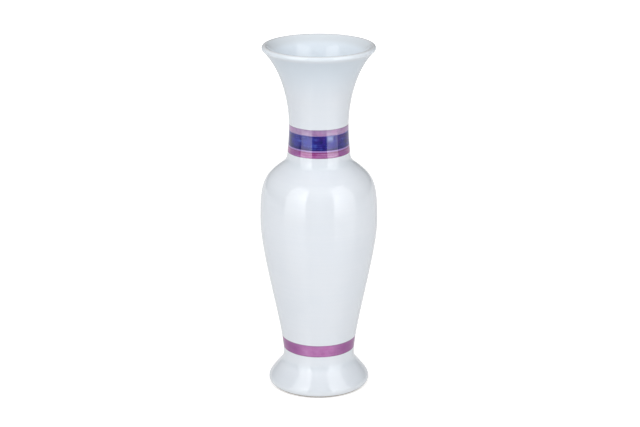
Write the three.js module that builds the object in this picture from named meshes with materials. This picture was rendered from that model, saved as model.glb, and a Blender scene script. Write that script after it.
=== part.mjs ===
// A slender glazed porcelain vase, 280 mm tall: a trumpet mouth on a narrow banded neck, a high round
// shoulder, a long tapering body and a hollow spreading foot. It is built as a potter builds a tall vase:
// turned sections stand end to end and are luted with slip, a soft coil is pressed into the inside of the
// joints, and the painted bands are fired into shallow seats in the wall.
// Sizes are in millimetres and angles in degrees. +Z is up, and the origin is on the floor, under the middle
// of the foot.

import * as THREE from "three";

// Heights of the stages, from the floor up.
const footHeight = 21.2;
const lowerBodyHeight = 117.1;
const shoulderHeight = 50;
const collarHeight = 27.4;
const mouthHeight = 64.3;

// Radii of the outside.
const footRadius = 40.6;
const footEdgeRadius = 4.6;
const waistRadius = 28.6;
const bellyRadius = 46.5;
const neckBaseRadius = 24.7;
const neckRadius = 23.4;
const lipRadius = 44.4;
const lipRollRadius = 2.2;

// How far the outline leans from upright where its stretches meet, going up: outwards is positive.
const quarterTurn = 90;
const footEdgeLean = -34;
const skirtLean = -40;
const waistLean = -2;
const shoulderLean = -51.5;
const lipLean = 45;
const footHollowLean = -30;

// How far back each crease starts to round over.
const waistBlend = 3.2;
const neckBaseBlend = 5;

// Lengths of each curve's two handles, as shares of the straight distance that it spans.
const skirtShares = [0.35, 0.35];
const lowerBodyShares = [0.18, 0.25];
const shoulderShares = [0.66, 0.37];
const collarShares = [0.15, 0.6];
const trumpetShares = [0.3, 0.32];
const footHollowShares = [0.4, 0.4];

// Walls and the pieces inside. A coil swells from thin edges, a share of its thickness, to the whole of it.
const wallThickness = 4.2;
const footRingHeight = 2;
const footRingWidth = 3.5;
const floorThickness = 5;
const floorSeatWidth = 2;
const lipHeight = 6;
const coilHeight = 9;
const coilThickness = 1.8;
const coilEdgeShare = 0.25;
const floorCoilSize = 3.5;

// Painted bands, from the foot of each group up.
const footBandLift = 10;
const footBandHeight = 11;
const neckBandsLift = 6.8;
const lowerNeckBandHeight = 6;
const blueNeckBandHeight = 11.7;
const upperNeckBandHeight = 5.2;
const neckMargin = 4;
const enamelThickness = 0.4;

// Fits: the gap between a piece and the wall that it follows, and the shortest step kept in an outline.
const clearance = 0.3;
const leastStep = 0.2;

// Straight steps that stand in for the full turn and for each curved stretch.
const facets = 36;
const edgeSteps = 6;
const skirtSteps = 3;
const creaseSteps = 4;
const lowerBodySteps = 9;
const shoulderSteps = 8;
const collarSteps = 3;
const trumpetSteps = 9;
const rollSteps = 5;
const innerRollSteps = 2;
const footHollowSteps = 5;
const coilSteps = 4;

// Levels worked out from the stages.
const waistZ = footHeight;
const bellyZ = waistZ + lowerBodyHeight;
const neckBaseZ = bellyZ + shoulderHeight;
const neckZ = neckBaseZ + collarHeight;
const topZ = neckZ + mouthHeight;
const lipSeatZ = topZ - lipHeight;
const floorTopZ = waistZ + floorThickness;
const footBandZ = waistZ + footBandLift;
const lowerNeckBandZ = neckBaseZ + neckBandsLift;
const blueNeckBandZ = lowerNeckBandZ + lowerNeckBandHeight;
const upperNeckBandZ = blueNeckBandZ + blueNeckBandHeight;
const neckBandsTopZ = upperNeckBandZ + upperNeckBandHeight;
const neckTopZ = neckBandsTopZ + neckMargin;

// Finishes.
const glaze = new THREE.MeshStandardMaterial({ color: 0xe4e9f0, roughness: 0.08, metalness: 0 });
const biscuit = new THREE.MeshStandardMaterial({ color: 0xd9d4cb, roughness: 0.9, metalness: 0 });
const lilac = new THREE.MeshStandardMaterial({ color: 0xa985b4, roughness: 0.12, metalness: 0 });
const blue = new THREE.MeshStandardMaterial({ color: 0x353286, roughness: 0.1, metalness: 0 });
const rose = new THREE.MeshStandardMaterial({ color: 0xb0699f, roughness: 0.12, metalness: 0 });

// A point of an outline: its distance from the axis, and its height.
const point = (radius, height) => new THREE.Vector2(radius, height);

// The direction that leans so many degrees outwards from straight up.
function leaning(degrees) {
  const angle = THREE.MathUtils.degToRad(degrees);
  return point(Math.sin(angle), Math.cos(angle));
}

const upright = leaning(0);
const along = (from, direction, distance) => from.clone().addScaledVector(direction, distance);
const shifted = (curve, offset) => curve.map((p) => point(p.x + offset, p.y));

// A curve that leaves one point in one direction and reaches the next point in another.
function bend(from, fromDirection, to, toDirection, shares, steps) {
  const span = from.distanceTo(to);
  const firstHandle = along(from, fromDirection, shares[0] * span);
  const lastHandle = along(to, toDirection, -shares[1] * span);
  return new THREE.CubicBezierCurve(from, firstHandle, lastHandle, to).getPoints(steps);
}

// The rounded crease between two stretches that meet at a corner.
function crease(corner, fromDirection, toDirection, blend) {
  const start = along(corner, fromDirection, -blend);
  const end = along(corner, toDirection, blend);
  return new THREE.QuadraticBezierCurve(start, corner, end).getPoints(creaseSteps);
}

// A round stretch about a centre. Its degrees count from straight out, towards the top.
function arc(centre, radius, fromDegrees, toDegrees, steps) {
  const start = THREE.MathUtils.degToRad(fromDegrees);
  const end = THREE.MathUtils.degToRad(toDegrees);
  return new THREE.EllipseCurve(centre.x, centre.y, radius, radius, start, end, end < start).getPoints(steps);
}

// Joins stretches end to end and leaves out each point that hardly moves on from the one before.
function chain(...stretches) {
  const joined = [];
  for (const p of stretches.flat()) {
    if (joined.length === 0 || p.distanceTo(joined.at(-1)) > leastStep) joined.push(p);
  }
  return joined;
}

// The outside of the whole vase, from the floor to the top of the lip. It rises all the way.
function outerOutline() {
  const edgeCentre = point(footRadius - footEdgeRadius, footEdgeRadius);
  const waistCorner = point(waistRadius, waistZ);
  const neckBaseCorner = point(neckBaseRadius, neckBaseZ);
  const belly = point(bellyRadius, bellyZ);
  const narrowest = point(neckRadius, neckZ);
  const skirtWay = leaning(skirtLean);
  const waistWay = leaning(waistLean);
  const shoulderWay = leaning(shoulderLean);

  const edge = arc(edgeCentre, footEdgeRadius, -quarterTurn, -footEdgeLean, edgeSteps);
  const waist = crease(waistCorner, skirtWay, waistWay, waistBlend);
  const neckBase = crease(neckBaseCorner, shoulderWay, upright, neckBaseBlend);
  const roll = arc(lipCentre, lipRollRadius, -lipLean, quarterTurn, rollSteps);
  return chain(
    edge,
    bend(edge.at(-1), leaning(footEdgeLean), waist[0], skirtWay, skirtShares, skirtSteps),
    waist,
    bend(waist.at(-1), waistWay, belly, upright, lowerBodyShares, lowerBodySteps),
    bend(belly, upright, neckBase[0], shoulderWay, shoulderShares, shoulderSteps),
    neckBase,
    bend(neckBase.at(-1), upright, narrowest, upright, collarShares, collarSteps),
    bend(narrowest, upright, roll[0], leaning(lipLean), trumpetShares, trumpetSteps),
    roll,
  );
}

// The inside of the vessel, up to the top of the lip: the outside moved in by the wall, which thickens up the
// trumpet until it fills the roll of the lip.
function innerOutline() {
  const rollStart = along(lipCentre, leaning(quarterTurn + lipLean), lipRollRadius);
  const lipThickness = 2 * lipRollRadius;
  const inside = [];
  for (let i = 1; outer[i].y < rollStart.y - leastStep; i += 1) {
    const direction = outer[i + 1].clone().sub(outer[i - 1]).normalize();
    const growth = THREE.MathUtils.smoothstep(outer[i].y, neckZ, rollStart.y);
    const thickness = THREE.MathUtils.lerp(wallThickness, lipThickness, growth);
    const p = point(outer[i].x - direction.y * thickness, outer[i].y + direction.x * thickness);
    if (inside.length === 0 || p.y > inside.at(-1).y + leastStep) inside.push(p);
  }
  return chain(inside, arc(lipCentre, lipRollRadius, 2 * quarterTurn - lipLean, quarterTurn, innerRollSteps));
}

// The radius of a rising outline at a height.
function radiusAt(curve, height) {
  const next = curve.findIndex((p) => p.y >= height);
  if (next < 1) return curve.at(next).x;
  const [low, high] = [curve[next - 1], curve[next]];
  return THREE.MathUtils.mapLinear(height, low.y, high.y, low.x, high.x);
}

// The part of a rising outline between two heights, with a point exactly at each.
function slice(curve, low, high) {
  const middle = curve.filter((p) => p.y > low + leastStep && p.y < high - leastStep);
  return [point(radiusAt(curve, low), low), ...middle, point(radiusAt(curve, high), high)];
}

// The outside of a section between two heights, with a shallow seat sunk in it for painted bands.
function seated(low, high, seatLow, seatHigh) {
  const seat = shifted(slice(outer, seatLow, seatHigh), -(enamelThickness + clearance));
  return [...slice(outer, low, seatLow), ...seat, ...slice(outer, seatHigh, high)];
}

// A solid turned about the axis.
function turned(name, finish, section) {
  const geometry = new THREE.LatheGeometry(section, facets);
  geometry.rotateX(Math.PI / 2);
  const mesh = new THREE.Mesh(geometry, finish);
  mesh.name = name;
  return mesh;
}

// A turned ring: its section goes up the outside, back down the inside and closes on itself.
function ring(name, finish, outside, inside) {
  const section = chain(outside, [...inside].reverse());
  return turned(name, finish, [...section, section[0]]);
}

// A section of the vessel's wall between two joints.
function wall(name, low, high, outside = slice(outer, low, high)) {
  return ring(name, glaze, outside, slice(inner, low, high));
}

// A stage of the foot between two heights.
function footStage(name, finish, low, high) {
  return ring(name, finish, slice(outer, low, high), slice(footHollow, low, high));
}

// A painted band, flush with the wall that it is fired into.
function band(name, finish, low, height) {
  const outside = slice(outer, low, low + height);
  return ring(name, finish, outside, shifted(outside, -enamelThickness));
}

// The back of a coil: it follows a wall between two heights, a clearance away from it.
function coilBack(curve, low, high) {
  const heights = slice(curve, low, high).map((p) => p.y);
  for (let i = 1; i < coilSteps; i += 1) {
    heights.push(THREE.MathUtils.lerp(low, high, i / coilSteps));
  }
  heights.sort((a, b) => a - b);
  return chain(heights.map((height) => point(radiusAt(curve, height) - clearance, height)));
}

// A coil of clay pressed along the inside of a joint.
function lutingCoil(name, level) {
  const low = level - coilHeight / 2;
  const back = coilBack(inner, low, low + coilHeight);
  const face = back.map((p) => {
    const swelling = Math.sin((Math.PI * (p.y - low)) / coilHeight);
    return point(p.x - THREE.MathUtils.lerp(coilEdgeShare, 1, swelling) * coilThickness, p.y);
  });
  return ring(name, glaze, back, face);
}

// The coil that fills the corner under the vessel's floor, at the top of the foot's hollow.
function floorCoil() {
  const low = waistZ - floorCoilSize;
  const back = coilBack(footHollow, low, waistZ);
  const corner = back.at(-1);
  const far = along(corner, across, -floorCoilSize);
  const face = new THREE.QuadraticBezierCurve(back[0], point(corner.x, low), far);
  return ring("floor_luting_coil", glaze, back, face.getPoints(coilSteps).slice(1));
}

const across = leaning(quarterTurn);
const lipCentre = point(lipRadius - lipRollRadius, topZ - lipRollRadius);
const outer = outerOutline();
const inner = innerOutline();

// The vessel's floor drops into the narrowest of the bore round it. It rests on a seat that the foot's hollow
// leaves for it.
const floorBore = Math.min(...slice(inner, waistZ, floorTopZ).map((p) => p.x));
const floorRadius = floorBore - clearance;
const footHollow = bend(
  point(footRadius - footEdgeRadius - footRingWidth, 0),
  upright,
  point(floorRadius - floorSeatWidth, waistZ),
  leaning(footHollowLean),
  footHollowShares,
  footHollowSteps,
);
const floorSection = [
  point(0, waistZ),
  point(floorRadius, waistZ),
  point(floorRadius, floorTopZ),
  point(0, floorTopZ),
];

const vase = new THREE.Group();
vase.add(
  footStage("foot_ring", biscuit, 0, footRingHeight),
  footStage("foot_skirt", glaze, footRingHeight, waistZ),
  turned("vessel_floor", glaze, floorSection),
  wall("lower_body", waistZ, bellyZ, seated(waistZ, bellyZ, footBandZ, footBandZ + footBandHeight)),
  wall("shoulder", bellyZ, neckBaseZ),
  wall("neck", neckBaseZ, neckTopZ, seated(neckBaseZ, neckTopZ, lowerNeckBandZ, neckBandsTopZ)),
  wall("mouth_flare", neckTopZ, lipSeatZ),
  wall("lip_roll", lipSeatZ, topZ),
  floorCoil(),
  lutingCoil("girth_luting_coil", bellyZ),
  lutingCoil("neck_luting_coil", neckBaseZ),
  band("foot_band", rose, footBandZ, footBandHeight),
  band("neck_band_lower", rose, lowerNeckBandZ, lowerNeckBandHeight),
  band("neck_band_blue", blue, blueNeckBandZ, blueNeckBandHeight),
  band("neck_band_upper", lilac, upperNeckBandZ, upperNeckBandHeight),
);

export default vase;
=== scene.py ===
"""The looks of a slender glazed porcelain vase: a trumpet mouth, a banded neck and a hollow spreading foot.

Every piece is a surface turned about the upright axis. A half section is a closely sampled curve of radius
and height, and a piece is the stretches of such curves between its joints, carried round the axis. All walls
take their rows from one skin, which runs up the outside, over the lip and down the inside, so pieces that
touch share their rings exactly. The vase's own fields are in millimetres and degrees, the studio's are in
metres and degrees, apart from the camera's lens and sensor, which are in millimetres, and all that is worked
out from them is in metres and radians.
"""

import logging
import math
from collections.abc import Callable, Mapping, Sequence
from dataclasses import dataclass, field
from enum import Enum

import bpy
import numpy as np
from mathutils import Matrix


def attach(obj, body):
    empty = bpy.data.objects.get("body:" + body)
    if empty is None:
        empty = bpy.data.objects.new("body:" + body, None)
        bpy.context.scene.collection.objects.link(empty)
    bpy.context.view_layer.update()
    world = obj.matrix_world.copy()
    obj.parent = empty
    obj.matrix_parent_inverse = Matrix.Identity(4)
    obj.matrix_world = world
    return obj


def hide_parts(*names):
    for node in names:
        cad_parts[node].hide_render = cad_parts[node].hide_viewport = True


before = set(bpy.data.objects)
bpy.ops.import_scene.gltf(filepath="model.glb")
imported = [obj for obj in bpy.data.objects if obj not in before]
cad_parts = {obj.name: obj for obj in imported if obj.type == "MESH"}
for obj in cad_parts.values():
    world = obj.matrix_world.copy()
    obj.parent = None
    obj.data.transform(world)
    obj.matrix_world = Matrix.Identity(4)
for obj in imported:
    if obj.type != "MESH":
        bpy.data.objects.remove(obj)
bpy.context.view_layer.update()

MM = 0.001
ROOT = "root"

# The grids: columns round the axis, samples and rows along the section.
COLUMNS = 240
ANGLES = np.arange(COLUMNS) * (2 * math.pi / COLUMNS)
SAMPLE_STEP = 0.05 * MM
LEAST_SAMPLES = 8
SMOOTHING = 1.2 * MM
OUTER_SPACING = 0.8 * MM
INNER_SPACING = 2 * MM
EDGE_ROWS = 6
EDGE_CROWDING = 1.5
LEAST_GAP = 0.3
LENGTH_DIGITS = 9

# Steps over which a relief's slope is read, how near is the same place, and a length beyond every section.
SLOPE_STEP = 0.02 * MM
SLOPE_TURN = 0.002
SAME_PLACE = 1e-9
ON_AXIS = 1e-7
FAR = 1.0

# What leaves the height out of a place, the values that soft noise mostly keeps between, and a lamp's white.
AROUND = (1, 1, 0)
NOISE_RANGE = (0.3, 0.7)
PLAIN_WHITE = (1.0, 1.0, 1.0, 1.0)

Lift = Callable[[np.ndarray, np.ndarray], np.ndarray]
Pair = tuple[float, float]
Colour = tuple[float, float, float]
Socket = bpy.types.NodeSocket
Input = float | Sequence[float] | Socket

logger = logging.getLogger("vase")


class Slot(Enum):
    """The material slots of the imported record."""

    WHITE_GLAZE = "white_glaze"
    BISCUIT = "biscuit"
    LILAC_ENAMEL = "lilac_enamel"
    BLUE_ENAMEL = "blue_enamel"
    ROSE_ENAMEL = "rose_enamel"


class Side(Enum):
    """The side of the wall on which a height is read off the skin."""

    OUTSIDE = "outside"
    INSIDE = "inside"


def metres(sizes: Sequence[float]) -> tuple[float, ...]:
    """Sizes in millimetres, as metres."""
    return tuple(size * MM for size in sizes)


# Curves of a half section. A point is a row of radius and height.


def leaning(degrees: float) -> np.ndarray:
    """The direction that leans so many degrees outwards from straight up.

    Args:
        degrees: the lean; inwards is negative.

    Returns:
        The direction's sine and cosine, as radius and height.
    """
    return np.array([math.sin(math.radians(degrees)), math.cos(math.radians(degrees))])


def bend(start: np.ndarray, start_way: np.ndarray, end: np.ndarray, end_way: np.ndarray, shares: Pair,
         steps: int = 400) -> np.ndarray:
    """A cubic Bezier curve, whose handles lie along the two ways, each a share of the straight distance long.

    Args:
        start: where the curve begins.
        start_way: its direction there.
        end: where it ends.
        end_way: its direction there.
        shares: the handles' lengths as shares of the distance from start to end.
        steps: how many equal steps of the parameter it is sampled in.

    Returns:
        The sampled points, one to a row.
    """
    span = float(np.linalg.norm(end - start))
    first = start + start_way * shares[0] * span
    last = end - end_way * shares[1] * span
    t = np.linspace(0, 1, steps + 1)[:, None]
    return (1 - t) ** 3 * start + 3 * (1 - t) ** 2 * t * first + 3 * (1 - t) * t**2 * last + t**3 * end


def bow(start: np.ndarray, middle: np.ndarray, end: np.ndarray, steps: int) -> np.ndarray:
    """A quadratic Bezier curve, which sets out towards the middle point and arrives from it.

    Args:
        start: where the curve begins.
        middle: the point where its two end directions meet.
        end: where it ends.
        steps: how many equal steps of the parameter it is sampled in.

    Returns:
        The sampled points, one to a row.
    """
    t = np.linspace(0, 1, steps + 1)[:, None]
    return (1 - t) ** 2 * start + 2 * (1 - t) * t * middle + t**2 * end


def crease(corner: np.ndarray, in_way: np.ndarray, out_way: np.ndarray, blend: float) -> np.ndarray:
    """A rounded corner: a quadratic Bezier curve that starts and ends the blend's length from the corner.

    Args:
        corner: where the two stretches would meet.
        in_way: the direction that leads into the corner.
        out_way: the direction that leads out of it.
        blend: how far from the corner the rounding reaches.

    Returns:
        The sampled points, one to a row.
    """
    return bow(corner - in_way * blend, corner, corner + out_way * blend, steps=60)


def arc(centre: np.ndarray, radius: float, first: float, last: float, steps: int = 120) -> np.ndarray:
    """A round stretch: the centre plus the radius times the cosine and sine of an evenly changing angle.

    Args:
        centre: the middle of the circle.
        radius: its radius.
        first: the angle where it starts, in degrees from straight out towards the top.
        last: the angle where it ends.
        steps: how many equal steps of the angle it is sampled in.

    Returns:
        The sampled points, one to a row.
    """
    turn = np.radians(np.linspace(first, last, steps + 1))
    return centre + radius * np.stack([np.cos(turn), np.sin(turn)], axis=1)


def ease(value: np.ndarray, low: float, high: float) -> np.ndarray:
    """A smooth step: three times the share squared, less twice its cube, of the way from low to high.

    Args:
        value: where it is read.
        low: where it leaves nought.
        high: where it reaches one.

    Returns:
        The step's height at each value.
    """
    share = np.clip((value - low) / (high - low), 0, 1)
    return share * share * (3 - 2 * share)


def evenly(points: np.ndarray) -> tuple[np.ndarray, np.ndarray]:
    """Samples a curve again at equal steps of its own length.

    Args:
        points: the curve, one point to a row.

    Returns:
        The lengths along the curve, and the points there.
    """
    steps = np.linalg.norm(np.diff(points, axis=0), axis=1)
    kept = np.concatenate([[True], steps > SAME_PLACE])
    travelled = np.concatenate([[0.0], np.cumsum(steps)])[kept]
    count = max(LEAST_SAMPLES, int(travelled[-1] / SAMPLE_STEP))
    lengths = np.linspace(0, travelled[-1], count + 1)
    return lengths, np.stack([np.interp(lengths, travelled, points[kept, i]) for i in (0, 1)], axis=1)


def softened(points: np.ndarray, spread: float, share: np.ndarray) -> np.ndarray:
    """Rounds off the changes of curvature where stretches meet, by a bell-shaped moving average.

    Args:
        points: a curve sampled at equal steps.
        spread: the bell's standard deviation, in metres.
        share: how much of the average each point takes, from nought to one.

    Returns:
        The softened points.
    """
    reach = int(4 * spread / SAMPLE_STEP)
    bell = np.exp(-0.5 * (np.arange(-reach, reach + 1) * SAMPLE_STEP / spread) ** 2)
    bell /= bell.sum()
    ahead = 2 * points[0] - points[reach:0:-1]
    behind = 2 * points[-1] - points[-2:-reach - 2:-1]
    padded = np.concatenate([ahead, points, behind])
    mean = np.stack([np.convolve(padded[:, i], bell, mode="valid") for i in (0, 1)], axis=1)
    return points + share[:, None] * (mean - points)


@dataclass(frozen=True)
class Patch:
    """A grid of points with the outward normal at each: rows along the section, columns round the axis."""

    points: np.ndarray
    normals: np.ndarray


@dataclass(frozen=True)
class Marks:
    """The faint relief that turning leaves: two shallow spirals of rings over a slow swell out of round.

    A spiral's height is the sine of a turn to each pitch along the section, plus one or two times the
    angle, plus a wander that is a slow sine of the length over the drift. The swell is a sum of cosines. Each
    has its waves round the axis, its share, its turns over the swell's length, and the angle it starts at.
    """

    pitch: float = 3.7
    second_pitch: float = 5.9
    drift: float = 34
    second_drift: float = 57.8
    wander: float = 1.4
    second_wander: float = 0.9
    second_share: float = 0.4
    swell_length: float = 170
    swells: tuple[tuple[int, float, float, float], ...] = (
        (2, 0.5, 1.0, 0.0), (3, 0.3, -1.6, 1.9), (5, 0.2, 2.3, 0.7))

    def rings(self, lengths: np.ndarray, angles: np.ndarray) -> np.ndarray:
        """The spirals, from about minus one to one.

        Args:
            lengths: lengths along the section, in metres.
            angles: angles round the axis.

        Returns:
            The rings' relative height.
        """
        turn = 2 * math.pi * lengths / MM
        wander = self.wander * np.sin(turn / self.drift)
        second_wander = self.second_wander * np.sin(turn / self.second_drift + angles)
        first = np.sin(turn / self.pitch + angles + wander)
        second = np.sin(turn / self.second_pitch + 2 * angles + second_wander)
        return (1 - self.second_share) * first + self.second_share * second

    def swell(self, lengths: np.ndarray, angles: np.ndarray) -> np.ndarray:
        """The slow swell, from about minus one to one.

        Args:
            lengths: lengths along the section, in metres.
            angles: angles round the axis.

        Returns:
            The swell's relative height.
        """
        turn = 2 * math.pi * lengths / (self.swell_length * MM)
        return sum(share * np.cos(lobes * angles + turns * turn + start)
                   for lobes, share, turns, start in self.swells)


def level(lengths: np.ndarray, angles: np.ndarray) -> np.ndarray:
    """The lift of a stretch that stays on its curve: nought everywhere.

    Args:
        lengths: lengths along the section.
        angles: angles round the axis.

    Returns:
        Zeros in the shape that the two have together.
    """
    return np.zeros(np.broadcast_shapes(np.shape(lengths), np.shape(angles)))


@dataclass(frozen=True)
class Skin:
    """A closely sampled half section, with its normals and the heights of its turning marks."""

    lengths: np.ndarray
    points: np.ndarray
    normals: np.ndarray
    ring_heights: np.ndarray
    swell_heights: np.ndarray
    marks: Marks = field(default_factory=Marks)

    @classmethod
    def along(cls, lengths: np.ndarray, points: np.ndarray, ring_heights: np.ndarray | float = 0.0,
              swell_heights: np.ndarray | float = 0.0, marks: Marks = Marks()) -> "Skin":
        """Makes a skin of an evenly sampled curve. Its normal is its direction turned a quarter to the right.

        Args:
            lengths: lengths along the curve.
            points: the curve's points there.
            ring_heights: the rings' height at each point.
            swell_heights: the swell's height at each point.
            marks: the marks' own shape.

        Returns:
            The skin.
        """
        way = np.gradient(points, lengths, axis=0)
        way /= np.linalg.norm(way, axis=1, keepdims=True)
        normals = np.stack([way[:, 1], -way[:, 0]], axis=1)
        flat = np.zeros(len(lengths))
        return cls(lengths, points, normals, flat + ring_heights, flat + swell_heights, marks)

    def read(self, table: np.ndarray, lengths: np.ndarray | float) -> np.ndarray:
        """A sampled value at any lengths, by straight steps between the samples."""
        return np.interp(lengths, self.lengths, table)

    def place(self, length: float) -> np.ndarray:
        """The point at a length along the section."""
        return np.array([self.read(self.points[:, part], length) for part in (0, 1)])

    def relief(self, lengths: np.ndarray, angles: np.ndarray) -> np.ndarray:
        """The height of the turning marks: each kind of mark times its height there.

        Args:
            lengths: lengths along the section.
            angles: angles round the axis.

        Returns:
            The relief in metres, along the normal.
        """
        return (self.read(self.ring_heights, lengths) * self.marks.rings(lengths, angles)
                + self.read(self.swell_heights, lengths) * self.marks.swell(lengths, angles))

    def patch(self, lengths: np.ndarray, lift: Lift = level, shift: float = 0.0) -> Patch:
        """Carries a stretch of the section round the axis.

        A point is the curve's point moved along its normal by the relief and the lift, and sideways by the
        shift, then turned by the angle. Its normal is the curve's, leaned back by the height's slope along
        the section and round the axis. A stretch that runs against the skin faces the other way.

        Args:
            lengths: the rows' lengths along the skin, in the order of the piece's section.
            lift: a height added to the relief, as a function of length and angle.
            shift: how far the stretch moves away from the axis.

        Returns:
            The patch.
        """
        rows, angles = np.asarray(lengths)[:, None], ANGLES[None, :]

        def height(at: np.ndarray, around: np.ndarray) -> np.ndarray:
            """The relief and the lift together."""
            return self.relief(at, around) + lift(at, around)

        value = height(rows, angles)
        slope = (height(rows + SLOPE_STEP, angles) - height(rows - SLOPE_STEP, angles)) / (2 * SLOPE_STEP)
        twist = (height(rows, angles + SLOPE_TURN) - height(rows, angles - SLOPE_TURN)) / (2 * SLOPE_TURN)
        out = self.read(self.normals[:, 0], rows)
        up = self.read(self.normals[:, 1], rows)
        radius = self.read(self.points[:, 0], rows) + shift + out * value
        z = self.read(self.points[:, 1], rows) + up * value
        around = -twist / np.maximum(radius, MM)
        outward = out + slope * up
        upward = up - slope * out
        cosine, sine = np.cos(angles), np.sin(angles)
        points = np.stack([radius * cosine, radius * sine, z + 0 * angles], axis=2)
        x, y = outward * cosine - around * sine, outward * sine + around * cosine
        normals = np.stack([x, y, upward], axis=2)
        normals /= np.linalg.norm(normals, axis=2, keepdims=True)
        return Patch(points, normals if lengths[-1] > lengths[0] else -normals)


def facing(first: Patch, second: Patch) -> Patch:
    """The flat face of a joint, from the last row of one patch to the first row of another.

    Args:
        first: the patch that the face starts from.
        second: the patch that it ends on.

    Returns:
        A patch of two rows, which faces up where it runs towards the axis, and down where it runs outwards.
    """
    points = np.stack([first.points[-1], second.points[0]])
    radii = np.linalg.norm(points[:, 0, :2], axis=1)
    normals = np.zeros_like(points)
    normals[:, :, 2] = 1 if radii[1] < radii[0] else -1
    return Patch(points, normals)


def turned(name: str, patches: Sequence[Patch], closed: bool = True) -> bpy.types.Object:
    """Makes one piece of patches that follow each other round its section.

    A patch starts on the last row of the one before, and a closed section ends on its first row. A row on the
    axis is one point, where the faces round it are triangles. Every face's corners keep their own patch's
    normals, so that edges stay crisp and joints between pieces don't show.

    Args:
        name: the piece's name.
        patches: the patches, up the outside, inwards, and down the inside.
        closed: False for a section that starts and ends on the axis.

    Returns:
        The mesh object, at the origin.
    """
    rows = np.concatenate([patches[0].points[:1]] + [p.points[1:] for p in patches])
    if closed:
        rows = rows[:-1]
    row_count = len(rows)
    ids = np.arange(row_count * COLUMNS).reshape(row_count, COLUMNS)
    poles = np.linalg.norm(rows[:, :, :2], axis=2).max(axis=1) < ON_AXIS
    ids[poles] = ids[poles][:, :1]

    # A face has two corners next to each other on one row, and two on the row after it.
    starts = np.cumsum([0] + [len(p.points) - 1 for p in patches])
    corners, normals = [], []
    for start, patch in zip(starts, patches):
        low = (start + np.arange(len(patch.points) - 1)) % row_count
        high = (low + 1) % row_count
        grid = np.stack([ids[low], np.roll(ids[low], -1, 1), np.roll(ids[high], -1, 1), ids[high]], axis=2)
        below, above = patch.normals[:-1], patch.normals[1:]
        bent = np.stack([below, np.roll(below, -1, 1), np.roll(above, -1, 1), above], axis=2)
        corners.append(grid.reshape(-1, 4))
        normals.append(bent.reshape(-1, 4, 3))
    faces, bent = np.concatenate(corners), np.concatenate(normals)

    # On the axis two corners of a face are one point, so one of them is left out.
    kept = np.ones(faces.shape, bool)
    kept[:, 1] = faces[:, 0] != faces[:, 1]
    kept[:, 3] = faces[:, 2] != faces[:, 3]
    whole = kept.all(axis=1)
    cut = kept[~whole]
    loops = np.concatenate([faces[whole].ravel(), faces[~whole][cut]])
    loop_normals = np.concatenate([bent[whole].reshape(-1, 3), bent[~whole][cut]])

    # The corners are numbered again by the points in use. The faces with four stand before those with three.
    used, loops = np.unique(loops, return_inverse=True)
    loops = loops.ravel()
    split = 4 * int(whole.sum())
    quads, triangles = loops[:split].reshape(-1, 4), loops[split:].reshape(-1, 3)

    mesh = bpy.data.meshes.new(name)
    polygons = quads.tolist() + triangles.tolist()
    mesh.from_pydata(rows.reshape(-1, 3)[used].tolist(), [], polygons, shade_flat=False)
    mesh.normals_split_custom_set(loop_normals.tolist())
    mesh.update()
    piece = bpy.data.objects.new(name, mesh)
    bpy.context.scene.collection.objects.link(piece)
    return piece


def rows_between(start: float, end: float, spacing: float, fine_start: float = 0.0,
                 fine_end: float = 0.0) -> np.ndarray:
    """The lengths of a stretch's rows: evenly spaced, with closer rows over a fine length at either end.

    Args:
        start: the first length.
        end: the last length, which may be the smaller one.
        spacing: the widest step.
        fine_start: how far from the start the closer rows reach.
        fine_end: how far from the end they reach.

    Returns:
        The lengths, from start to end.
    """
    total = abs(end - start)
    even = np.linspace(0, total, max(2, math.ceil(total / spacing)) + 1)
    crowded = np.linspace(0, 1, EDGE_ROWS + 1) ** EDGE_CROWDING
    near, far = fine_start * crowded, total - fine_end * crowded
    gap = LEAST_GAP * spacing
    middle = even[(even > fine_start + gap) & (even < total - fine_end - gap)]
    distances = np.unique(np.round(np.concatenate([[0.0], near, middle, far, [total]]), LENGTH_DIGITS))
    distances[-1] = total
    return start + distances * (1 if end > start else -1)


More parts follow.
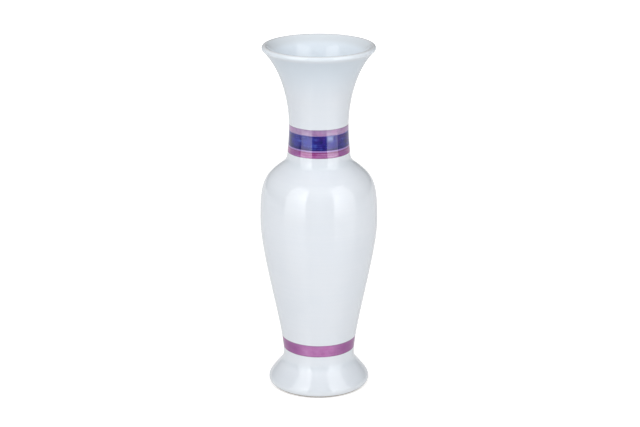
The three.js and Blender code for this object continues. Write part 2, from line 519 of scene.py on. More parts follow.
@dataclass(frozen=True)
class Outline:
    """The lines of the whole vase, as the solids have them, and the heights of the marks that turning left.

    Shares are the handles' lengths of a stretch's curve. The marks rise over two distances from the lip and
    from the foot, and the rings inside grow from the mouth's to the body's over two depths under the lip.
    """

    foot_height: float = 21.2
    lower_body_height: float = 117.1
    shoulder_height: float = 50
    collar_height: float = 27.4
    mouth_height: float = 64.3
    foot_radius: float = 40.6
    foot_edge_radius: float = 4.6
    waist_radius: float = 28.6
    belly_radius: float = 46.5
    neck_base_radius: float = 24.7
    neck_radius: float = 23.4
    lip_radius: float = 44.4
    lip_roll_radius: float = 2.2
    foot_edge_lean: float = -34
    skirt_lean: float = -40
    waist_lean: float = -2
    shoulder_lean: float = -51.5
    lip_lean: float = 45
    foot_hollow_lean: float = -30
    waist_blend: float = 3.2
    neck_base_blend: float = 5
    skirt_shares: Pair = (0.35, 0.35)
    lower_body_shares: Pair = (0.18, 0.25)
    shoulder_shares: Pair = (0.66, 0.37)
    collar_shares: Pair = (0.15, 0.6)
    trumpet_shares: Pair = (0.3, 0.32)
    foot_hollow_shares: Pair = (0.4, 0.4)
    wall_thickness: float = 4.2
    foot_ring_width: float = 3.5
    foot_ring_edge: float = 0.5
    floor_thickness: float = 5
    floor_seat_width: float = 2
    clearance: float = 0.3
    smoothing_rise: Pair = (2, 8)
    smoothing_fall: float = 6
    outer_ring_height: float = 0.009
    mouth_ring_height: float = 0.02
    inner_ring_height: float = 0.09
    inner_ring_depths: Pair = (30, 80)
    rings_from_lip: Pair = (2, 7)
    rings_from_foot: Pair = (2, 8)
    hollow_ring_height: float = 0.04
    hollow_rings_rise: Pair = (2.5, 7)
    swell_height: float = 0.12
    swell_from_lip: Pair = (2, 30)
    swell_from_foot: Pair = (2, 20)

    @property
    def waist_z(self) -> float:
        """The height of the waist, in metres."""
        return self.foot_height * MM

    @property
    def belly_z(self) -> float:
        """The height of the widest part, in metres."""
        return self.waist_z + self.lower_body_height * MM

    @property
    def neck_base_z(self) -> float:
        """The height of the neck's base, in metres."""
        return self.belly_z + self.shoulder_height * MM

    @property
    def neck_z(self) -> float:
        """The height of the narrowest part of the neck, in metres."""
        return self.neck_base_z + self.collar_height * MM

    @property
    def top_z(self) -> float:
        """The height of the lip's top, in metres."""
        return self.neck_z + self.mouth_height * MM

    def outside(self) -> np.ndarray:
        """The outside from the floor to where the lip starts to roll, stretch by stretch.

        Returns:
            The points, in metres.
        """
        edge_radius = self.foot_edge_radius * MM
        edge_centre = np.array([self.foot_radius * MM - edge_radius, edge_radius])
        edge = arc(edge_centre, edge_radius, -90, -self.foot_edge_lean)
        skirt_way, waist_way = leaning(self.skirt_lean), leaning(self.waist_lean)
        shoulder_way, upright = leaning(self.shoulder_lean), leaning(0)
        waist_corner = np.array([self.waist_radius * MM, self.waist_z])
        waist = crease(waist_corner, skirt_way, waist_way, self.waist_blend * MM)
        neck_corner = np.array([self.neck_base_radius * MM, self.neck_base_z])
        neck_base = crease(neck_corner, shoulder_way, upright, self.neck_base_blend * MM)
        belly = np.array([self.belly_radius * MM, self.belly_z])
        narrowest = np.array([self.neck_radius * MM, self.neck_z])
        roll_start = self.lip_centre() + self.lip_roll_radius * MM * leaning(90 + self.lip_lean)
        return np.concatenate([
            edge,
            bend(edge[-1], leaning(self.foot_edge_lean), waist[0], skirt_way, self.skirt_shares),
            waist,
            bend(waist[-1], waist_way, belly, upright, self.lower_body_shares, steps=1200),
            bend(belly, upright, neck_base[0], shoulder_way, self.shoulder_shares, steps=800),
            neck_base,
            bend(neck_base[-1], upright, narrowest, upright, self.collar_shares),
            bend(narrowest, upright, roll_start, leaning(self.lip_lean), self.trumpet_shares, steps=800),
        ])

    def lip_centre(self) -> np.ndarray:
        """The middle of the lip's roll, in metres."""
        roll = self.lip_roll_radius * MM
        return np.array([self.lip_radius * MM - roll, self.top_z - roll])

    def skin(self) -> Skin:
        """The skin of the whole wall: up the outside, over the lip, and down the inside to the floor.

        The inside is the outside moved in along its normal by the wall, which grows up the trumpet by a
        smooth step until it fills the roll of the lip.

        Returns:
            The skin, with the heights of its turning marks.
        """
        lengths, outer = evenly(self.outside())
        rise = ease(lengths, *metres(self.smoothing_rise))
        outer = softened(outer, SMOOTHING, rise * ease(lengths[-1] - lengths, 0, self.smoothing_fall * MM))
        way = np.gradient(outer, lengths, axis=0)
        way /= np.linalg.norm(way, axis=1, keepdims=True)
        growth = ease(outer[:, 1], self.neck_z, outer[-1, 1])
        thickness = (self.wall_thickness + growth * (2 * self.lip_roll_radius - self.wall_thickness)) * MM
        inner = outer + np.stack([-way[:, 1], way[:, 0]], axis=1) * thickness[:, None]
        start = int(np.argmax(inner[:, 1] > self.waist_z))
        share = (self.waist_z - inner[start - 1, 1]) / (inner[start, 1] - inner[start - 1, 1])
        bottom = inner[start - 1] + share * (inner[start] - inner[start - 1])
        inner = np.concatenate([[bottom], inner[start:]])
        roll = arc(self.lip_centre(), self.lip_roll_radius * MM, -self.lip_lean, 180 - self.lip_lean)
        lengths, points = evenly(np.concatenate([outer, roll, inner[::-1]]))

        top = lengths[int(np.argmax(points[:, 1]))]
        inside, from_lip = lengths > top, np.abs(lengths - top)
        depth = ease(self.top_z - points[:, 1], *metres(self.inner_ring_depths))
        within = self.mouth_ring_height + (self.inner_ring_height - self.mouth_ring_height) * depth
        rings = np.where(inside, within, self.outer_ring_height) * MM
        rings *= ease(from_lip, *metres(self.rings_from_lip)) * ease(lengths, *metres(self.rings_from_foot))
        swell = self.swell_height * MM * np.where(inside, -1, 1)
        swell = swell * ease(from_lip, *metres(self.swell_from_lip))
        return Skin.along(lengths, points, rings, swell * ease(lengths, *metres(self.swell_from_foot)))

    def floor_radius(self, skin: Skin) -> float:
        """The radius of the vessel's floor: the least of the bore round it, less the clearance.

        Args:
            skin: the wall's skin.

        Returns:
            The radius in metres.
        """
        floor_top = self.waist_z + self.floor_thickness * MM
        inside = skin.lengths > skin.lengths[int(np.argmax(skin.points[:, 1]))]
        near = inside & (skin.points[:, 1] <= floor_top)
        return float(skin.points[near, 0].min()) - self.clearance * MM

    def hollow(self, floor_radius: float) -> Skin:
        """The hollow of the foot, from the seat of the vessel's floor down to the ring's rounded inner edge.

        Args:
            floor_radius: the radius of the vessel's floor, in metres.

        Returns:
            The skin.
        """
        inner = (self.foot_radius - self.foot_edge_radius - self.foot_ring_width) * MM
        edge = self.foot_ring_edge * MM
        start = np.array([inner, edge])
        top = np.array([floor_radius - self.floor_seat_width * MM, self.waist_z])
        wall = bend(start, leaning(0), top, leaning(self.foot_hollow_lean), self.foot_hollow_shares)
        rounding = arc(np.array([inner + edge, edge]), edge, 180, 270)
        lengths, points = evenly(np.concatenate([wall[::-1], rounding]))
        rings = self.hollow_ring_height * MM * ease(points[:, 1], *metres(self.hollow_rings_rise))
        return Skin.along(lengths, points, rings)


def length_at(skin: Skin, height: float, side: Side = Side.OUTSIDE) -> float:
    """The length along a skin at which it passes a height.

    Args:
        skin: a skin that rises and then falls, or that only falls.
        height: the height in metres.
        side: the rising side or the falling one.

    Returns:
        The length in metres.
    """
    top = int(np.argmax(skin.points[:, 1]))
    heights, lengths = skin.points[:, 1], skin.lengths
    if side is Side.OUTSIDE:
        return float(np.interp(height, heights[:top + 1], lengths[:top + 1]))
    return float(np.interp(height, heights[top:][::-1], lengths[top:][::-1]))


# Finishes.


class Graph:
    """Lays out the nodes of one node tree and joins them."""

    def __init__(self, tree: bpy.types.NodeTree) -> None:
        """Starts on an emptied tree.

        Args:
            tree: the tree to fill.
        """
        self.tree = tree
        tree.nodes.clear()

    def node(self, kind: str, inputs: Mapping[int | str, Input] | None = None,
             **settings: object) -> bpy.types.Node:
        """Adds a node.

        Args:
            kind: the node's type name.
            inputs: its inputs by name or number; a socket is linked, and anything else is set.
            settings: its own settings.

        Returns:
            The node.
        """
        made = self.tree.nodes.new(kind)
        for name, value in settings.items():
            setattr(made, name, value)
        for key, value in (inputs or {}).items():
            if isinstance(value, Socket):
                self.tree.links.new(value, made.inputs[key])
            else:
                made.inputs[key].default_value = value
        return made

    def math(self, operation: str, first: Input, second: Input = 0.0, third: Input = 0.0) -> Socket:
        """The result of one sum on numbers, named as the Math node names it."""
        return self.node("ShaderNodeMath", {0: first, 1: second, 2: third}, operation=operation).outputs[0]

    def times(self, first: Input, second: Input) -> Socket:
        """The product of two numbers."""
        return self.math("MULTIPLY", first, second)

    def vector(self, operation: str, first: Input, second: Input | None = None) -> Socket:
        """The result of one sum on places, named as the Vector Math node names it.

        Args:
            operation: the sum's name.
            first: the first place.
            second: the second place, for a sum that has one.

        Returns:
            A number for a length or a dot product, and a place for any other sum.
        """
        inputs = {0: first} if second is None else {0: first, 1: second}
        made = self.node("ShaderNodeVectorMath", inputs, operation=operation)
        return made.outputs[1 if operation in ("LENGTH", "DOT_PRODUCT") else 0]

    def parts(self, place: Input) -> Sequence[Socket]:
        """The three parts of a place."""
        return self.node("ShaderNodeSeparateXYZ", {0: place}).outputs

    def mix(self, share: Input, first: Input, second: Input) -> Socket:
        """A colour that goes from the first to the second as the share goes from nought to one."""
        inputs = {0: share, 6: coloured(first), 7: coloured(second)}
        return self.node("ShaderNodeMix", inputs, data_type="RGBA").outputs[2]

    def between(self, share: Input, first: Input, second: Input) -> Socket:
        """A number that goes from the first to the second as the share goes from nought to one."""
        return self.node("ShaderNodeMix", {0: share, 2: first, 3: second}).outputs[0]

    def ease(self, value: Input, low: float, high: float, start: float = 0.0, end: float = 1.0) -> Socket:
        """A smooth step from start to end, as the value goes from low to high."""
        inputs = {0: value, 1: low, 2: high, 3: start, 4: end}
        return self.node("ShaderNodeMapRange", inputs, interpolation_type="SMOOTHSTEP").outputs[0]

    def stretched(self, where: Input, times: tuple[float, float, float]) -> Socket:
        """A place with each of its three parts multiplied."""
        return self.vector("MULTIPLY", where, times)

    def noise(self, where: Input, size: float, detail: float = 2.0, roughness: float = 0.5) -> Socket:
        """Soft noise about a half, whose clouds are about one size across."""
        inputs = {"Vector": where, "Scale": 1 / size, "Detail": detail, "Roughness": roughness}
        return self.node("ShaderNodeTexNoise", inputs).outputs[0]

    def bell(self, value: Input, centre: float, width: float) -> Socket:
        """A bell round a centre: e to the minus square of the distance over the width."""
        distance = self.math("DIVIDE", self.math("SUBTRACT", value, centre), width)
        return self.math("EXPONENT", self.times(self.times(distance, distance), -1.0))


def coloured(value: Input) -> Input:
    """A colour's three parts with an alpha of one after them; a socket stays as it is."""
    return value if isinstance(value, Socket) or len(value) == 4 else (*value, 1.0)


def grey(value: float) -> Colour:
    """A colour whose three parts are the same."""
    return value, value, value


@dataclass(frozen=True)
class Surface:
    """What a finish feeds its shader: colour, roughness, bumps and their depth in millimetres, and index."""

    colour: Socket
    roughness: Socket
    bumps: Socket
    depth: float
    ior: float


@dataclass(frozen=True)
class Finish:
    """What a piece looks like. Its subclasses say how its nodes make the surface."""

    name: str
    slot: Slot

    def material(self) -> bpy.types.Material:
        """The finish's material, made the first time that it is asked for.

        Returns:
            The material.
        """
        made = bpy.data.materials.get(self.name)
        if made is None:
            made = bpy.data.materials.new(self.name)
            made.use_nodes = True
            graph = Graph(made.node_tree)
            surface = self.surface(graph, graph.node("ShaderNodeTexCoord").outputs["Object"])
            bump = graph.node("ShaderNodeBump", {
                "Strength": 1.0, "Distance": surface.depth * MM, "Height": surface.bumps})
            shader = graph.node("ShaderNodeBsdfPrincipled", {
                "Base Color": surface.colour, "Roughness": surface.roughness, "IOR": surface.ior,
                "Normal": bump.outputs[0]})
            graph.node("ShaderNodeOutputMaterial", {"Surface": shader.outputs[0]})
        return made

    def surface(self, graph: Graph, where: Socket) -> Surface:
        """Makes the finish's own nodes.

        Args:
            graph: the material's nodes.
            where: the place on the surface, in object coordinates.

        Returns:
            What they feed the shader.
        """
        raise NotImplementedError


@dataclass(frozen=True)
class GlazeFinish(Finish):
    """Clear glossy glaze over bluish white porcelain.

    It is very faintly cloudy, streaked round by the turning under it, and cooler where it pools in the two
    creases. Up the trumpet towards the mouth it is cooler and darker, which is partly painted shade under
    the lip. Low on the skirt it is greyer, where it has run down and lies thick, and there it is also
    painted shade; towards the skirt's rounded edge it is lighter again, which is painted light against the
    shade under that edge. Inside, where it went in by pouring, it is bluer, and it is lighter too, which is
    painted light; it is greyer inside just under the rim. Its whiter lip roll is a painted highlight, the
    crest of the roll is thin and greyer, and there are a few dark specks no bigger than a pinprick. A rise or
    fall is the two heights between which a tone comes up or dies away.
    """

    pools: tuple[float, ...]
    white: Colour = (0.776, 0.812, 0.862)
    cloudy: Colour = (0.754, 0.796, 0.852)
    cloud_size: float = 38
    cloud_share: float = 0.72
    cloud_range: Pair = (0.36, 0.64)
    streak_times: tuple[float, float, float] = (9, 9, 620)
    # Cooler, and darker as painted shade under the lip.
    cool_and_painted_shade: Colour = (0.708, 0.784, 0.860)
    cool_and_painted_shade_rise: Pair = (236, 270)
    # Greyer low on the skirt: thick glaze, and painted shade.
    settled_and_painted_shade: Colour = (0.705, 0.748, 0.80)
    settled_and_painted_shade_fall: Pair = (11, 24)
    # Lighter towards the skirt's rounded edge: painted light against the shade under it.
    foot_edge_painted_light: Colour = (0.81, 0.85, 0.89)
    foot_edge_painted_light_fall: Pair = (1.5, 8)
    # Whiter on the lip roll: a painted highlight.
    lip_roll_painted_highlight: Colour = (0.797, 0.856, 0.915)
    lip_roll_painted_highlight_rise: Pair = (273.6, 276.2)
    # Bluer inside, and lighter, which is painted light inside the mouth.
    poured_and_painted_light: Colour = (0.795, 0.865, 0.936)
    # Greyer inside just under the rim.
    inner_rim_grey: Colour = (0.717, 0.765, 0.81)
    inner_rim_grey_rise: Pair = (272, 277)
    inner_facing: Pair = (-0.3, 0.0)
    pooled: Colour = (0.67, 0.735, 0.79)
    pool_width: float = 2.6
    pool_share: float = 0.4
    crest: Colour = (0.725, 0.755, 0.79)
    crest_rise: Pair = (279.0, 279.8)
    speck: Colour = (0.30, 0.26, 0.22)
    speck_scale: float = 95.0
    speck_radii: Pair = (0.014, 0.026)
    speck_rarity: float = 0.55
    speck_share: float = 0.7
    speck_pit: float = 2.0
    gloss: Pair = (0.03, 0.06)
    gloss_size: float = 22
    wave_size: float = 9
    small_wave_size: float = 2.4
    small_wave_share: float = 0.3
    ripple: float = 0.003
    ior: float = 1.62

    def surface(self, graph: Graph, where: Socket) -> Surface:
        """Makes the glaze's nodes.

        Args:
            graph: the material's nodes.
            where: the place on the surface, in object coordinates.

        Returns:
            What they feed the shader.
        """
        dot = self.specks(graph, where)
        colour = graph.mix(graph.times(dot, self.speck_share), self.tones(graph, where), self.speck)
        gloss = graph.ease(graph.noise(where, self.gloss_size * MM, detail=3), *NOISE_RANGE, *self.gloss)
        small_wave = graph.noise(where, self.small_wave_size * MM, detail=2)
        wave = graph.math("MULTIPLY_ADD", small_wave, self.small_wave_share,
                          graph.noise(where, self.wave_size * MM, detail=1))
        wave = graph.math("SUBTRACT", wave, graph.times(dot, self.speck_pit))
        return Surface(colour, gloss, wave, self.ripple, self.ior)

    def tones(self, graph: Graph, where: Socket) -> Socket:
        """The glaze's colour without its specks: one tone mixed over the other by smooth steps of the height.

        Args:
            graph: the material's nodes.
            where: the place on the surface, in object coordinates.

        Returns:
            The colour.
        """
        z = graph.parts(where)[2]
        cloud = graph.noise(where, self.cloud_size * MM, detail=3)
        streak = graph.noise(graph.stretched(where, self.streak_times), size=1, detail=3, roughness=0.6)
        tone = graph.math("MULTIPLY_ADD", cloud, self.cloud_share, graph.times(streak, 1 - self.cloud_share))
        colour = graph.mix(graph.ease(tone, *self.cloud_range), self.white, self.cloudy)
        # Cooler and darker up the trumpet: a cooler tint, and painted shade under the lip.
        colour = graph.mix(graph.ease(z, *metres(self.cool_and_painted_shade_rise)), colour, self.cool_and_painted_shade)
        # Greyer low on the skirt: thick glaze, and painted shade.
        colour = graph.mix(graph.ease(z, *metres(self.settled_and_painted_shade_fall)), self.settled_and_painted_shade, colour)
        # Lighter again towards the skirt's rounded edge: painted light against the shade under it.
        colour = graph.mix(graph.ease(z, *metres(self.foot_edge_painted_light_fall)), self.foot_edge_painted_light, colour)
        # Whiter on the lip roll: a painted highlight.
        colour = graph.mix(graph.ease(z, *metres(self.lip_roll_painted_highlight_rise)), colour, self.lip_roll_painted_highlight)
        # Inside: bluer, and lighter as painted light, and greyer just under the rim.
        inner = graph.mix(graph.ease(z, *metres(self.inner_rim_grey_rise)), self.poured_and_painted_light, self.inner_rim_grey)
        colour = graph.mix(graph.ease(self.outwards(graph, where), *self.inner_facing, 1, 0), colour, inner)
        for pool in self.pools:
            share = graph.times(graph.bell(z, pool * MM, self.pool_width * MM), self.pool_share)
            colour = graph.mix(share, colour, self.pooled)
        return graph.mix(graph.ease(z, *metres(self.crest_rise)), colour, self.crest)

    def specks(self, graph: Graph, where: Socket) -> Socket:
        """The specks: one in the middle of each cell of a cell pattern, in some of the cells.

        Args:
            graph: the material's nodes.
            where: the place on the surface, in object coordinates.

        Returns:
            One on a speck, and nought beside it.
        """
        cells = graph.node("ShaderNodeTexVoronoi", {"Vector": where, "Scale": self.speck_scale})
        chosen = graph.node("ShaderNodeSeparateColor", {0: cells.outputs["Color"]}).outputs[0]
        return graph.times(graph.ease(cells.outputs["Distance"], *self.speck_radii, 1, 0),
                           graph.math("GREATER_THAN", chosen, self.speck_rarity))

    @staticmethod
    def outwards(graph: Graph, where: Socket) -> Socket:
        """How far the surface faces away from the axis: its normal times the way out from the axis."""
        way = graph.vector("NORMALIZE", graph.stretched(where, AROUND))
        return graph.vector("DOT_PRODUCT", way, graph.node("ShaderNodeTexCoord").outputs["Normal"])


@dataclass(frozen=True)
class Edge:
    """Where a painted band gives way to what lies beyond it, and the line of paint that pools inside it."""

    z: float
    beyond: Colour
    pool: Colour
    pool_share: float
    pool_width: float = 0.5
    wobble: float = 0.3
    softness: float = 0.35


@dataclass(frozen=True)
class Touch:
    """A soft place on a band in a colour of its own: its angle and height, half sizes and colour.

    Some are where the brush left less paint, or more, and others are painted shade or painted reflections.
    The half sizes are an angle in degrees and a height in millimetres.
    """

    angle: float
    z: float
    half_size: Pair
    colour: Colour
    share: float


@dataclass(frozen=True)
class EnamelFinish(Finish):
    """Glossy translucent enamel, laid on by a brush as the vase turned.

    Streaks run round the vase with the brush and waver a little, thin and deep places alternate in soft
    blotches with patches of a second tint, the paint pools in a line inside each edge, and the stroke
    overlaps itself once at the back. A few soft touches are lighter or deeper than the rest: some are
    thinner or deeper paint, and some are painted shade or painted reflections. The streaks stand up as fine
    ridges, which break up what the gloss mirrors. The tone's reach is how far the noise goes below and above
    a half until the paint is thin or deep, at a contrast of one.
    """

    colour: Colour
    deep: Colour
    thin: Colour
    tint: Colour
    low: Edge
    high: Edge
    ior: float
    blotch_size: float = 6
    contrast: float = 1.0
    tone_reach: Pair = (0.2, 0.16)
    streak_share: float = 0.45
    streak_times: tuple[float, float, float] = (70, 70, 900)
    streak_waver: float = 1.2
    streak_waver_size: float = 9
    tint_aside: tuple[float, float, float] = (0.31, 0.17, 0.23)
    tint_size: float = 7.8
    tint_range: Pair = (0.48, 0.66)
    tint_share: float = 0.5
    touches: tuple[Touch, ...] = ()
    lap_angle: float = 150
    lap_nearness: Pair = (0.982, 0.992)
    lap_share: float = 0.55
    slow_waver_size: float = 17
    quick_waver_size: float = 4
    quick_waver: float = 0.35
    pool_size: float = 9
    pool_falloff: float = 0.6
    gloss: Pair = (0.03, 0.07)
    gloss_size: float = 6
    ridge_size: float = 5
    ridge_share: float = 0.8
    ripple: float = 0.008

    def surface(self, graph: Graph, where: Socket) -> Surface:
        """Makes the enamel's nodes.

        Args:
            graph: the material's nodes.
            where: the place on the surface, in object coordinates.

        Returns:
            What they feed the shader.
        """
        z = graph.parts(where)[2]
        around = graph.stretched(where, AROUND)
        way = graph.vector("NORMALIZE", around)
        streak = self.streaks(graph, where)
        lap = graph.ease(self.nearness(graph, way, self.lap_angle), *self.lap_nearness, 0, self.lap_share)
        colour = graph.mix(lap, self.brushed(graph, where, streak), self.deep)
        for touch in self.touches:
            colour = graph.mix(self.touched(graph, way, z, touch), colour, touch.colour)
        colour = self.edged(graph, around, z, colour)
        gloss = graph.ease(graph.noise(where, self.gloss_size * MM, detail=3), *NOISE_RANGE, *self.gloss)
        swells = graph.noise(where, self.ridge_size * MM, detail=1)
        ridges = graph.math("MULTIPLY_ADD", streak, self.ridge_share, swells)
        return Surface(colour, gloss, ridges, self.ripple, self.ior)

    def streaks(self, graph: Graph, where: Socket) -> Socket:
        """The brush's streaks: noise drawn out round the vase, at heights that soft noise shifts up and down.

        Args:
            graph: the material's nodes.
            where: the place on the surface, in object coordinates.

        Returns:
            The noise, about a half.
        """
        height = self.streak_waver * MM
        waver = graph.noise(where, self.streak_waver_size * MM, detail=1)
        waver = graph.math("MULTIPLY_ADD", waver, height, -0.5 * height)
        moved = graph.vector("ADD", where, graph.node("ShaderNodeCombineXYZ", {2: waver}).outputs[0])
        return graph.noise(graph.stretched(moved, self.streak_times), size=1, detail=3, roughness=0.6)

    def brushed(self, graph: Graph, where: Socket, streak: Socket) -> Socket:
        """The paint's colour: thin, full and deep by its streaks and blotches, with patches of the tint.

        The tint's noise is read a little aside, so that its patches don't follow the blotches.

        Args:
            graph: the material's nodes.
            where: the place on the surface, in object coordinates.
            streak: the brush's streaks.

        Returns:
            The colour.
        """
        blotch = graph.noise(where, self.blotch_size * MM, detail=3, roughness=0.6)
        tone = graph.math("MULTIPLY_ADD", streak, self.streak_share,
                          graph.times(blotch, 1 - self.streak_share))
        below, above = (reach / self.contrast for reach in self.tone_reach)
        colour = graph.mix(graph.ease(tone, 0.5 - below, 0.5), self.thin, self.colour)
        colour = graph.mix(graph.ease(tone, 0.5, 0.5 + above), colour, self.deep)
        aside = graph.vector("ADD", where, self.tint_aside)
        tinting = graph.noise(aside, self.tint_size * MM, detail=2)
        return graph.mix(graph.ease(tinting, *self.tint_range, 0, self.tint_share), colour, self.tint)

    def edged(self, graph: Graph, around: Socket, z: Socket, colour: Socket) -> Socket:
        """Ends the paint at its two edges, which waver by slow and quick noise round the vase.

        Args:
            graph: the material's nodes.
            around: the place with its height left out.
            z: the height.
            colour: the paint's colour.

        Returns:
            The colour, with a pooled line inside each edge and what lies beyond it outside.
        """
        slow = graph.noise(around, self.slow_waver_size * MM, detail=1)
        quick = graph.noise(around, self.quick_waver_size * MM, detail=2)
        waver = graph.math("MULTIPLY_ADD", graph.math("SUBTRACT", quick, 0.5), self.quick_waver,
                           graph.math("SUBTRACT", slow, 0.5))
        uneven = graph.noise(around, self.pool_size * MM, detail=2)
        for edge, inwards in ((self.low, 1.0), (self.high, -1.0)):
            shifted = graph.math("MULTIPLY_ADD", waver, 2 * edge.wobble * MM, edge.z * MM)
            inside = graph.times(graph.math("SUBTRACT", z, shifted), inwards)
            pool = graph.bell(inside, edge.pool_width * MM, self.pool_falloff * edge.pool_width * MM)
            share = graph.ease(uneven, *NOISE_RANGE, 0.5 * edge.pool_share, edge.pool_share)
            colour = graph.mix(graph.times(pool, share), colour, edge.pool)
            colour = graph.mix(graph.ease(inside, 0.0, edge.softness * MM), edge.beyond, colour)
        return colour

    @staticmethod
    def nearness(graph: Graph, way: Socket, angle: float) -> Socket:
        """The cosine of the angle between a way round the vase and one in degrees."""
        aim = (math.cos(math.radians(angle)), math.sin(math.radians(angle)), 0.0)
        return graph.vector("DOT_PRODUCT", way, aim)

    def touched(self, graph: Graph, way: Socket, z: Socket, touch: Touch) -> Socket:
        """How much a touch shows: a bell of the height times a smooth step of the angle's cosine.

        Args:
            graph: the material's nodes.
            way: the way round the vase.
            z: the height.
            touch: the touch.

        Returns:
            The share of its own colour.
        """
        edge = math.cos(math.radians(touch.half_size[0]))
        across = graph.ease(self.nearness(graph, way, touch.angle), edge, 1.0)
        up = graph.bell(z, touch.z * MM, touch.half_size[1] * MM)
        return graph.times(graph.times(across, up), touch.share)


@dataclass(frozen=True)
class BiscuitFinish(Finish):
    """Bare fired clay on the standing ring: matt, grainy, toasted by the glaze line, grey where it rubbed."""

    clay: Colour = (0.64, 0.615, 0.58)
    dark_grain: Colour = (0.50, 0.47, 0.43)
    grain_size: float = 0.5
    grain_range: Pair = (0.45, 0.75)
    grain_depth: float = 0.03
    toasted: Colour = (0.57, 0.51, 0.45)
    toasted_rise: Pair = (0.9, 2.0)
    toasted_share: float = 0.75
    toasted_size: float = 9
    toasted_range: Pair = (0.3, 0.6)
    toasted_least: float = 0.4
    scuffed: Colour = (0.42, 0.41, 0.40)
    scuffed_fall: Pair = (0.05, 0.25)
    scuffed_share: float = 0.8
    scuffed_size: float = 3
    scuffed_range: Pair = (0.5, 0.62)
    roughness: Pair = (0.78, 0.92)
    ior: float = 1.45

    def surface(self, graph: Graph, where: Socket) -> Surface:
        """Makes the clay's nodes.

        Args:
            graph: the material's nodes.
            where: the place on the surface, in object coordinates.

        Returns:
            What they feed the shader.
        """
        z = graph.parts(where)[2]
        grain = graph.noise(where, self.grain_size * MM, detail=4, roughness=0.65)
        colour = graph.mix(graph.ease(grain, *self.grain_range), self.clay, self.dark_grain)
        smoke = graph.noise(where, self.toasted_size * MM, detail=2)
        toast = graph.times(graph.ease(z, *metres(self.toasted_rise), 0, self.toasted_share),
                            graph.ease(smoke, *self.toasted_range, self.toasted_least, 1))
        colour = graph.mix(toast, colour, self.toasted)
        wear = graph.noise(where, self.scuffed_size * MM, detail=4, roughness=0.7)
        rubbed = graph.times(graph.ease(z, *metres(self.scuffed_fall), 1, 0),
                             graph.ease(wear, *self.scuffed_range, 0, self.scuffed_share))
        colour = graph.mix(rubbed, colour, self.scuffed)
        rough = graph.ease(grain, *NOISE_RANGE, *self.roughness)
        return Surface(colour, rough, grain, self.grain_depth, self.ior)


WHITE_GLAZE = GlazeFinish("clear_glaze_on_porcelain", Slot.WHITE_GLAZE,
                          pools=(Outline().waist_z / MM, Outline().neck_base_z / MM))
BARE_CLAY = BiscuitFinish("bare_fired_clay", Slot.BISCUIT)


def dressed(piece: bpy.types.Object, finish: Finish, node: str) -> bpy.types.Object:
    """Gives a piece its finish, and its place among the solids.

    Args:
        piece: the finished piece.
        finish: its finish.
        node: the solid that it stands for.

    Returns:
        The same piece.
    """
    piece.data.materials.append(finish.material())
    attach(piece, ROOT)
    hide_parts(node)
    logger.info("%s: %d faces, stands for %s", piece.name, len(piece.data.polygons), node)
    return piece


def section(name: str, skin: Skin, low: float, high: float,
            seat: tuple[float, float, float] | None = None) -> bpy.types.Object:
    """A section of the vessel's wall between two joints: outside, top face, inside and bottom face.

    Args:
        name: the piece's name.
        skin: the wall's skin.
        low: the height of the lower joint, in metres.
        high: the height of the upper joint.
        seat: the lower and upper heights of a shallow seat for painted bands, and its depth.

    Returns:
        The piece.
    """
    stops = [length_at(skin, z) for z in (low, *(seat[:2] if seat else ()), high)]
    shifts = (0.0, -seat[2], 0.0) if seat else (0.0,)
    outside = [skin.patch(rows_between(start, end, OUTER_SPACING), shift=shift)
               for start, end, shift in zip(stops, stops[1:], shifts)]
    top, bottom = length_at(skin, high, Side.INSIDE), length_at(skin, low, Side.INSIDE)
    ring = [*outside, skin.patch(rows_between(top, bottom, INNER_SPACING))]
    patches = []
    for this, following in zip(ring, [*ring[1:], ring[0]]):
        patches += [this, facing(this, following)]
    return turned(name, patches)


def pressed(start: float, end: float, thickness: float, dents: int) -> Lift:
    """The swelling of a coil pressed on by fingers.

    It is a half ellipse over the coil's width, and its height falls and rises by a sine for each finger's
    dent, which a sine of twice the angle spaces unevenly.

    Args:
        start: the length where the coil begins.
        end: the length where it ends.
        thickness: how thick it is in the middle.
        dents: how many dents go round.

    Returns:
        The lift.
    """
    dent_share, unevenness = 0.16, 0.8

    def lift(lengths: np.ndarray, angles: np.ndarray) -> np.ndarray:
        """The coil's thickness there.

        Args:
            lengths: lengths along the section.
            angles: angles round the axis.

        Returns:
            The thickness, nought at both edges.
        """
        across = np.clip(2 * (lengths - start) / (end - start) - 1, -1, 1)
        dent = dent_share * np.sin(dents * angles + unevenness * np.sin(2 * angles))
        return thickness * np.sqrt(np.maximum(1 - across**2, 0)) * (1 - dent * (1 - across**2))

    return lift


def rounded(start: float, end: float, height: float, edge: float) -> Lift:
    """The rise of a thin layer of paint or glaze between two lengths, with rounded edges.

    Over the edge's width its height follows a quarter of a sine.

    Args:
        start: the length where the layer begins.
        end: the length where it ends.
        height: how far it stands up.
        edge: how wide its edges are.

    Returns:
        The lift.
    """

    def lift(lengths: np.ndarray, angles: np.ndarray) -> np.ndarray:
        """The layer's height there."""
        inside = np.clip(np.minimum(lengths - start, end - lengths) / edge, 0, 1)
        return height * np.sin(0.5 * math.pi * inside) + level(lengths, angles)

    return lift


